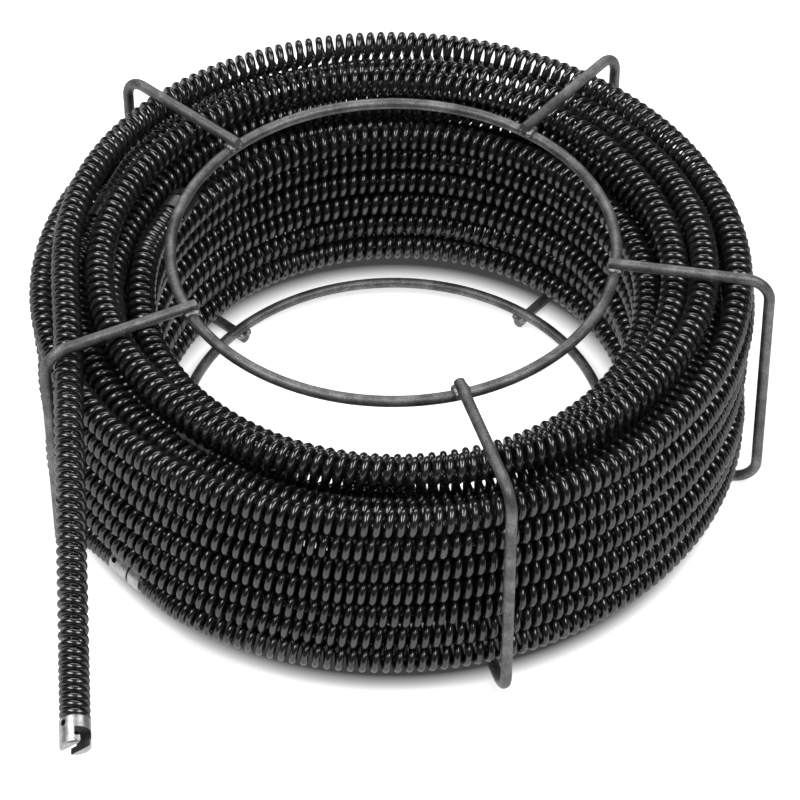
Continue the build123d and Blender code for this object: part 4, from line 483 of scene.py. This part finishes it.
wire = wire_material()
rod = rod_material()
weld = weld_material()
pin = plain_steel("plunger_steel", low=(0.14, 0.14, 0.15), high=(0.30, 0.30, 0.32),
                  scale=600.0, rough=0.24)
coil_steel = plain_steel("spring_steel", low=(0.22, 0.22, 0.23), high=(0.42, 0.42, 0.44),
                         scale=900.0, rough=0.28)

for name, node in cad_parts.items():
    if name.endswith("_ring") or name.startswith("spoke_"):
        dress(node, rod)
        node.modifiers.new("soft_shading", "WEIGHTED_NORMAL").keep_sharp = True
    elif name.startswith("detent_plunger"):
        dress(node, pin)
    elif name.startswith("plunger_spring"):
        dress(node, coil_steel)

UNOILED_UNSHADED_JOINTS = (7, SECTIONS)    # the joints with neither oil nor painted shade
for k in range(SECTIONS):
    for kind, joint, reach_in in (("male", k, 0.0), ("female", k + 1, FEMALE_REACH)):
        face, heading = JOINTS[joint]
        steel = coupling_material(f"{kind}_steel_{k + 1:02d}", face / MM, heading, reach_in,
                                  mated=0 < joint < SECTIONS, oiled_and_shaded=joint not in UNOILED_UNSHADED_JOINTS)
        dress(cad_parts[f"{kind}_coupling_{k + 1:02d}"], steel)

# the springs behind the plungers get meshes of their own on the coil, in place of the model's
for k in range(SECTIONS):
    number = f"{k + 1:02d}"
    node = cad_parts[f"plunger_spring_{number}"]
    spring = bpy.data.objects.new(f"return_spring_{number}", node.data.copy())
    bpy.context.scene.collection.objects.link(spring)
    face, heading = JOINTS[k][0] / MM, JOINTS[k][1]
    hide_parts(f"plunger_spring_{number}")
    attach(spring, "coil")
    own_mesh(spring)

# ---------------------------------------------------------------- weld beads
SPOKE_AZIMUTHS = (206.8, 137.6, 51.4, 349.8, 286.8)     # degrees
CROSSING_RADIUS_MM = 120.0
CROSSING_HEIGHTS_MM = (5.9, 147.9)
LUMP_SIZE_MM = np.array([2.5, 2.2, 2.0])    # half sizes: along the spoke, across it, up
LUMP_PITCH_MM = 1.9                         # least spacing of lumps along the spoke
BEAD_OFFSET_MM = 2.5                        # each bead from the spoke's middle


def bead(welds, centre, along, across, up, seed):
    """A run of three uneven lumps down each side of the spoke where it meets the ring."""
    rng = np.random.default_rng(seed)
    for side in (-1.0, 1.0):
        for step in (-1.0, 0.0, 1.0):
            lump = bmesh.new()
            bmesh.ops.create_icosphere(lump, subdivisions=3, radius=1.0)
            size = LUMP_SIZE_MM * (0.9 + 0.25 * rng.random(3))
            wave = rng.random(3) * 6.0
            middle = (centre + along * step * (LUMP_PITCH_MM + 0.4 * rng.random())
                      + across * side * BEAD_OFFSET_MM
                      + up * (0.2 * rng.random() - (0.3 if step else 0.0)))
            for v in lump.verts:
                p = np.array(v.co)
                # shallow ripples over the round lump
                p = p * (1 + 0.05 * np.sin(5 * p[0] + wave[0]) * np.sin(6 * p[1] + wave[1])
                         + 0.03 * np.sin(11 * p[2] + wave[2]))
                q = middle + along * p[0] * size[0] + across * p[1] * size[1] + up * p[2] * size[2]
                v.co = Vector(q / 1000.0)
            holder = bpy.data.meshes.new("bead")
            lump.to_mesh(holder)
            lump.free()
            welds.from_mesh(holder)
            bpy.data.meshes.remove(holder)


def build_welds():
    welds = bmesh.new()
    for i, azimuth in enumerate(SPOKE_AZIMUTHS):
        turn = math.radians(azimuth)
        radial = np.array([math.cos(turn), math.sin(turn), 0.0])
        around = np.array([-radial[1], radial[0], 0.0])
        for j, z in enumerate(CROSSING_HEIGHTS_MM):
            bead(welds, radial * CROSSING_RADIUS_MM + np.array([0, 0, z]), radial, around,
                 np.array([0, 0, 1.0]), seed=10 * i + j)
    for f in welds.faces:
        f.smooth = True
    data = bpy.data.meshes.new("weld_runs")
    welds.to_mesh(data)
    welds.free()
    obj = bpy.data.objects.new("weld_runs", data)
    bpy.context.scene.collection.objects.link(obj)
    data.materials.append(weld)
    bpy.ops.object.select_all(action="DESELECT")
    obj.select_set(True)
    bpy.context.view_layer.objects.active = obj
    # the lumps melt into one skin
    melt = obj.modifiers.new("melt", "REMESH")
    melt.mode = "VOXEL"
    melt.voxel_size = 0.0004
    melt.use_smooth_shade = True
    bpy.ops.object.modifier_apply(modifier="melt")
    even = obj.modifiers.new("even", "SMOOTH")
    even.factor = 0.5
    even.iterations = 4
    bpy.ops.object.modifier_apply(modifier="even")
    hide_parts("weld_beads")
    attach(obj, "carrier")


build_welds()

# ---------------------------------------------------------------- the wound springs, in millimetres
HELIX_R = 5.92          # middle of the spring wire from the cable's centreline
WIRE_R = 2.03
BURR = 0.86             # the cut ends are slightly burred down to this share of the radius
OPEN_PITCH, CLOSE_PITCH = 6.0, 4.10
CLOSE_LENGTH = 38.0     # close-wound length at each end of a section
OPENING = 6.0           # length over which the pitch changes
PATH_STEP = 1.0         # spacing of the centreline's points
WINDING_STEP = 0.1      # spacing at which turns are counted
HEAD_GAP, TAIL_GAP = 29.0, 35.0     # from a section's joints to the ends of its curved run
STRAIGHT = 20.0         # straight length past each end of that run
# each bend of the tail: its middle, direction of the cable there
BENDS = [((-166.7, -131.1, 131.6), (0.06419, -0.978409, -0.19646)),
         ((-161.7, -206.4, 112.8), (0.065426, -0.965992, -0.250157))]
BEND_HALF = 0.025       # metres of cable on each side of a bend's middle
TAIL_LEAD = 60.0        # the tail's own mesh starts this far before its first bend

# points per turn and sides of the wire, in the coil and in the tail
PER_TURN, SIDES = ((16, 8))
TAIL_PER_TURN, TAIL_SIDES = ((28, 12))


def lengths_along(path):
    return np.r_[0.0, np.cumsum(np.linalg.norm(np.diff(path, axis=0), axis=1))]


def unit_rows(rows):
    return rows / np.linalg.norm(rows, axis=1)[:, None]


def smooth_run(q, start_way, end_way):
    """Points about PATH_STEP apart along a clamped cubic spline through q."""
    h = np.linalg.norm(np.diff(q, axis=0), axis=1)
    n = len(q)
    a = np.zeros((n, n))
    b = np.zeros((n, 3))
    a[0, 0] = a[-1, -1] = 1.0
    b[0], b[-1] = start_way, end_way
    for i in range(1, n - 1):
        a[i, i - 1], a[i, i], a[i, i + 1] = h[i], 2 * (h[i - 1] + h[i]), h[i - 1]
        b[i] = 3 * (h[i] * (q[i] - q[i - 1]) / h[i - 1] + h[i - 1] * (q[i + 1] - q[i]) / h[i])
    m = np.linalg.solve(a, b)
    out = []
    for i in range(n - 1):
        u = np.linspace(0, 1, max(2, int(round(h[i] / PATH_STEP))), endpoint=False)[:, None]
        out.append((2 * u**3 - 3 * u**2 + 1) * q[i] + (u**3 - 2 * u**2 + u) * h[i] * m[i]
                   + (-2 * u**3 + 3 * u**2) * q[i + 1] + (u**3 - u**2) * h[i] * m[i + 1])
    return np.vstack(out + [q[-1:]])


def spring_path(k):
    """Centreline of section k from end to end, straight where it grips its couplings."""
    (start, start_way), (stop, end_way) = JOINTS[k:k + 2]
    first, last = start + start_way * HEAD_GAP, stop - end_way * TAIL_GAP
    run = smooth_run(np.vstack([first, np.array(LAY[k], float) / 10.0, last]), start_way, end_way)
    head = first - start_way * np.arange(STRAIGHT, 0.0, -PATH_STEP)[:, None]
    tail = last + end_way * np.arange(PATH_STEP, STRAIGHT + PATH_STEP, PATH_STEP)[:, None]
    return np.vstack([head, run, tail])


def wind(path, per_turn, turn0):
    """Points of the spring wire's own centreline: left-hand turns, close-wound near both ends.
    Returns the points, the outward direction at each and how far each is along the cable."""
    s = lengths_along(path)
    tangent = unit_rows(np.gradient(path, s, axis=0))
    level = unit_rows(np.cross([0.0, 0.0, 1.0], tangent))
    upward = np.cross(tangent, level)
    fine = np.arange(0.0, s[-1], WINDING_STEP)
    from_end = np.minimum(fine, s[-1] - fine)
    opened = np.clip((from_end - (CLOSE_LENGTH - OPENING / 2)) / OPENING, 0, 1)
    opened = opened * opened * (3 - 2 * opened)
    # the open turns aren't all quite alike
    uneven = (1.0 + 0.012 * np.sin(fine / 37.0 + 2.1 * turn0)
              + 0.010 * np.sin(fine / 11.3 + turn0))
    pitch = CLOSE_PITCH + (OPEN_PITCH * uneven - CLOSE_PITCH) * opened
    turns = np.r_[0.0, np.cumsum(WINDING_STEP / pitch)[:-1]]
    want = np.arange(0.0, turns[-1], 1.0 / per_turn)
    at = np.interp(want, turns, fine)
    phase = -2 * np.pi * (want + turn0)
    centre, level, upward = (np.stack([np.interp(at, s, rows[:, i]) for i in range(3)], 1)
                             for rows in (path, level, upward))
    out = unit_rows(np.cos(phase)[:, None] * level + np.sin(phase)[:, None] * upward)
    return centre + out * HELIX_R, out, at


def wire_mesh(name, centre, outward, sides):
    """A round wire with closed ends along the given points, with its UVs laid out in strips."""
    tangent = unit_rows(np.gradient(centre, axis=0))
    side = unit_rows(np.cross(tangent, outward))
    up = np.cross(side, tangent)
    rings = len(centre)
    angle = np.arange(sides) * 2 * np.pi / sides
    radius = np.full((rings, 1, 1), WIRE_R)
    radius[0] = radius[-1] = WIRE_R * BURR
    ring_way = (np.cos(angle)[None, :, None] * up[:, None, :]
                + np.sin(angle)[None, :, None] * side[:, None, :])
    co = (centre[:, None, :] + radius * ring_way).reshape(-1, 3) / 1000.0
    i, j = np.meshgrid(np.arange(rings - 1), np.arange(sides), indexing="ij")
    j1 = (j + 1) % sides
    quads = np.stack([i * sides + j, i * sides + j1, (i + 1) * sides + j1, (i + 1) * sides + j],
                     -1).reshape(-1, 4)
    first_cap = np.arange(sides)[::-1]
    last_cap = (rings - 1) * sides + np.arange(sides)
    loops = np.concatenate([quads.ravel(), first_cap, last_cap])
    quad_loops = len(quads) * 4
    starts = np.concatenate([np.arange(len(quads)) * 4, [quad_loops, quad_loops + sides]])
    mesh = bpy.data.meshes.new(name)
    mesh.vertices.add(len(co))
    mesh.vertices.foreach_set("co", co.astype(np.float32).ravel())
    mesh.loops.add(len(loops))
    mesh.loops.foreach_set("vertex_index", loops.astype(np.int32))
    mesh.polygons.add(len(starts))
    mesh.polygons.foreach_set("loop_start", starts.astype(np.int32))
    mesh.update(calc_edges=True)
    mesh.polygons.foreach_set("use_smooth", np.ones(len(starts), bool))
    # strips of wire laid one above another, the two caps in the row above them
    length = np.linalg.norm(np.diff(centre, axis=0), axis=1).sum()
    rows = max(1, int(round(math.sqrt(length / (2 * math.pi * WIRE_R)))))
    per_row = int(math.ceil((rings - 1) / rows))
    row, col = i // per_row, i % per_row
    u0, u1 = col / per_row, (col + 1) / per_row
    v0, v1 = ((row + 0.06 + 0.88 * edge / sides) / (rows + 1) for edge in (j, j + 1))
    corners = ((u0, v0), (u0, v1), (u1, v1), (u1, v0))
    uv = np.stack([np.stack(corner, -1) for corner in corners], 2).reshape(-1, 2)
    cap_uv = [np.stack([x + 0.02 * np.cos(angle), (rows + 0.5 + 0.3 * np.sin(angle)) / (rows + 1)],
                       -1) for x in (0.1, 0.3)]
    layer = mesh.uv_layers.new(name="OFBake")
    all_uv = np.vstack([uv, cap_uv[0][::-1], cap_uv[1]])
    layer.data.foreach_set("uv", all_uv.astype(np.float32).ravel())
    mesh.validate()
    obj = bpy.data.objects.new(name, mesh)
    bpy.context.scene.collection.objects.link(obj)
    return obj


def piece(name, centre, outward, sides, stands_for):
    obj = wire_mesh(name, centre, outward, sides)
    obj.data.materials.append(wire)
    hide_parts(stands_for)
    return obj


for k in range(SECTIONS - 1):
    centre, outward, _ = wind(spring_path(k), PER_TURN, turn0=0.37 * k)
    number = f"{k + 1:02d}"
    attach(piece(f"spring_{number}", centre, outward, SIDES, f"spring_cable_{number}"), "coil")

# the free section: its coiled length, then the two lengths of its tail, split near its bends
path = spring_path(SECTIONS - 1)
s_path = lengths_along(path)
bend_1, bend_2 = (s_path[np.linalg.norm(path - np.array(hinge), axis=1).argmin()]
                  for hinge, _ in BENDS)
centre, outward, at = wind(path, TAIL_PER_TURN, turn0=0.62)
cut_1 = int(np.searchsorted(at, bend_1 - TAIL_LEAD))
cut_1 -= cut_1 % 2      # even, so that the thinned coil ends on the same point
cut_2 = int(np.searchsorted(at, (bend_1 + bend_2) / 2))
thin = slice(0, cut_1 + 1, 2)
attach(piece("spring_10", centre[thin], outward[thin], SIDES, "spring_cable_10"), "coil")
tails = [piece(f"spring_10_{part}", centre[cut], outward[cut], TAIL_SIDES, f"spring_cable_10_{part}")
         for part, cut in (("tail_middle", slice(cut_1, cut_2 + 1)), ("tail_end", slice(cut_2, None)))]
for obj, (one, other), (hinge, way) in zip(
        tails, (("coil", "tail_middle"), ("tail_middle", "tail_end")), BENDS):
    hinge, lean = np.array(hinge) / MM, unit(way) * BEND_HALF
    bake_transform(obj)

# ---------------------------------------------------------------- floor, light and camera
FLOOR_GLOW = 0.72               # what the camera sees of the floor's own light
FLOOR_IN_REFLECTIONS = 0.85
SHADE = 0.93                    # share of the light lost under the coil
SHADE_INNER, INNER_FADE = 0.132, 0.014      # distance from the axis where shade starts, its fade
SHADE_OUTER, OUTER_FADE = 0.190, 0.011      # the same where it ends
SKY = 0.05                      # the world's light on things; the camera sees it white
LIGHTS = [  # name, place, size, watts
    ("soft_left", (-0.70, -0.25, 1.25), (1.15, 0.42), 9.3),
    ("soft_right", (0.70, -0.35, 1.25), (1.15, 0.42), 9.3),
    ("soft_back", (0.0, 1.2, 1.1), (1.3, 0.35), 6.5),
]
LIGHTS_AIM = (0, 0, 0.08)
CAMERA_PLACE = (0.0, -1.405766, 1.399392)
CAMERA_AHEAD = (0.00178811, 0.7160781, -0.69801788)
CAMERA_RIGHT = (0.99999688, -0.00249708, 0.0)


def floor_material():
    m = Nodes("studio_floor")
    pale = m.ramp(m.noise(scale=3.0, detail=2.0), (0.3, (0.93, 0.93, 0.93)),
                  (0.7, (0.96, 0.96, 0.96)))
    distance = m.add("ShaderNodeVectorMath", _operation="LENGTH")
    m.put(m.place(), distance.inputs[0])
    far = distance.outputs["Value"]
    # little light gets in under the coil
    covered = m.times(
        m.math("DIVIDE", m.math("SUBTRACT", far, SHADE_INNER), INNER_FADE, clamp=True),
        m.math("DIVIDE", m.math("SUBTRACT", SHADE_OUTER, far), OUTER_FADE, clamp=True))
    light_left = m.math("SUBTRACT", 1.0, m.times(covered, by=SHADE))
    pale = m.mix(fac=m.times(covered, by=SHADE), a=pale, b=(0.03, 0.03, 0.03, 1))
    diffuse = m.add("ShaderNodeBsdfDiffuse", Color=pale)
    glow = m.add("ShaderNodeEmission", Strength=m.times(light_left, by=FLOOR_GLOW))
    both = m.add("ShaderNodeAddShader")
    m.put(diffuse.outputs[0], both.inputs[0])
    m.put(glow.outputs[0], both.inputs[1])
    mirrored = m.add("ShaderNodeEmission", Strength=m.times(light_left, by=FLOOR_IN_REFLECTIONS))
    seen = m.add("ShaderNodeLightPath")
    mixed = m.add("ShaderNodeMixShader")
    m.put(seen.outputs["Is Camera Ray"], mixed.inputs[0])
    m.put(mirrored.outputs[0], mixed.inputs[1])
    m.put(both.outputs[0], mixed.inputs[2])
    end = next(n for n in m.tree.nodes if n.type == "OUTPUT_MATERIAL")
    m.put(mixed.outputs[0], end.inputs["Surface"])
    m.tree.nodes.remove(m.bsdf)
    return m.mat


def build_world():
    world = bpy.data.worlds.new("studio")
    bpy.context.scene.world = world
    world.use_nodes = True
    nodes, links = world.node_tree.nodes, world.node_tree.links
    nodes.clear()
    seen = nodes.new("ShaderNodeLightPath")
    white, dim = (nodes.new("ShaderNodeBackground") for _ in range(2))
    for background, strength in ((white, 1.0), (dim, SKY)):
        background.inputs["Color"].default_value = (1, 1, 1, 1)
        background.inputs["Strength"].default_value = strength
    mixed = nodes.new("ShaderNodeMixShader")
    end = nodes.new("ShaderNodeOutputWorld")
    links.new(seen.outputs["Is Camera Ray"], mixed.inputs[0])
    links.new(dim.outputs[0], mixed.inputs[1])
    links.new(white.outputs[0], mixed.inputs[2])
    links.new(mixed.outputs[0], end.inputs["Surface"])


bpy.ops.mesh.primitive_plane_add(size=14.0, location=(0, 0, 0))
floor = bpy.context.object
floor.name = "studio_floor"
floor.data.materials.append(floor_material())
build_world()

for name, place, size, power in LIGHTS:
    data = bpy.data.lights.new(name, "AREA")
    data.shape = "RECTANGLE"
    data.size, data.size_y = size
    data.energy = power
    lamp = bpy.data.objects.new(name, data)
    bpy.context.scene.collection.objects.link(lamp)
    lamp.location = place
    lamp.rotation_mode = "QUATERNION"
    lamp.rotation_quaternion = (Vector(LIGHTS_AIM) - Vector(place)).to_track_quat("-Z", "Y")

camera = bpy.data.objects.new("camera", bpy.data.cameras.new("camera"))
scene = bpy.context.scene
scene.collection.objects.link(camera)
camera.data.sensor_width, camera.data.lens = 36.0, 157.5
camera.data.clip_start, camera.data.clip_end = 0.05, 50.0
ahead = unit(CAMERA_AHEAD)
right = unit(CAMERA_RIGHT)
above = np.cross(right, ahead)
camera.matrix_world = Matrix([[right[i], above[i], -ahead[i], CAMERA_PLACE[i]] for i in range(3)]
                             + [[0, 0, 0, 1]])
scene.camera = camera
scene.view_settings.view_transform = "Standard"
scene.view_settings.look = "None"
scene.view_settings.exposure = 0.0
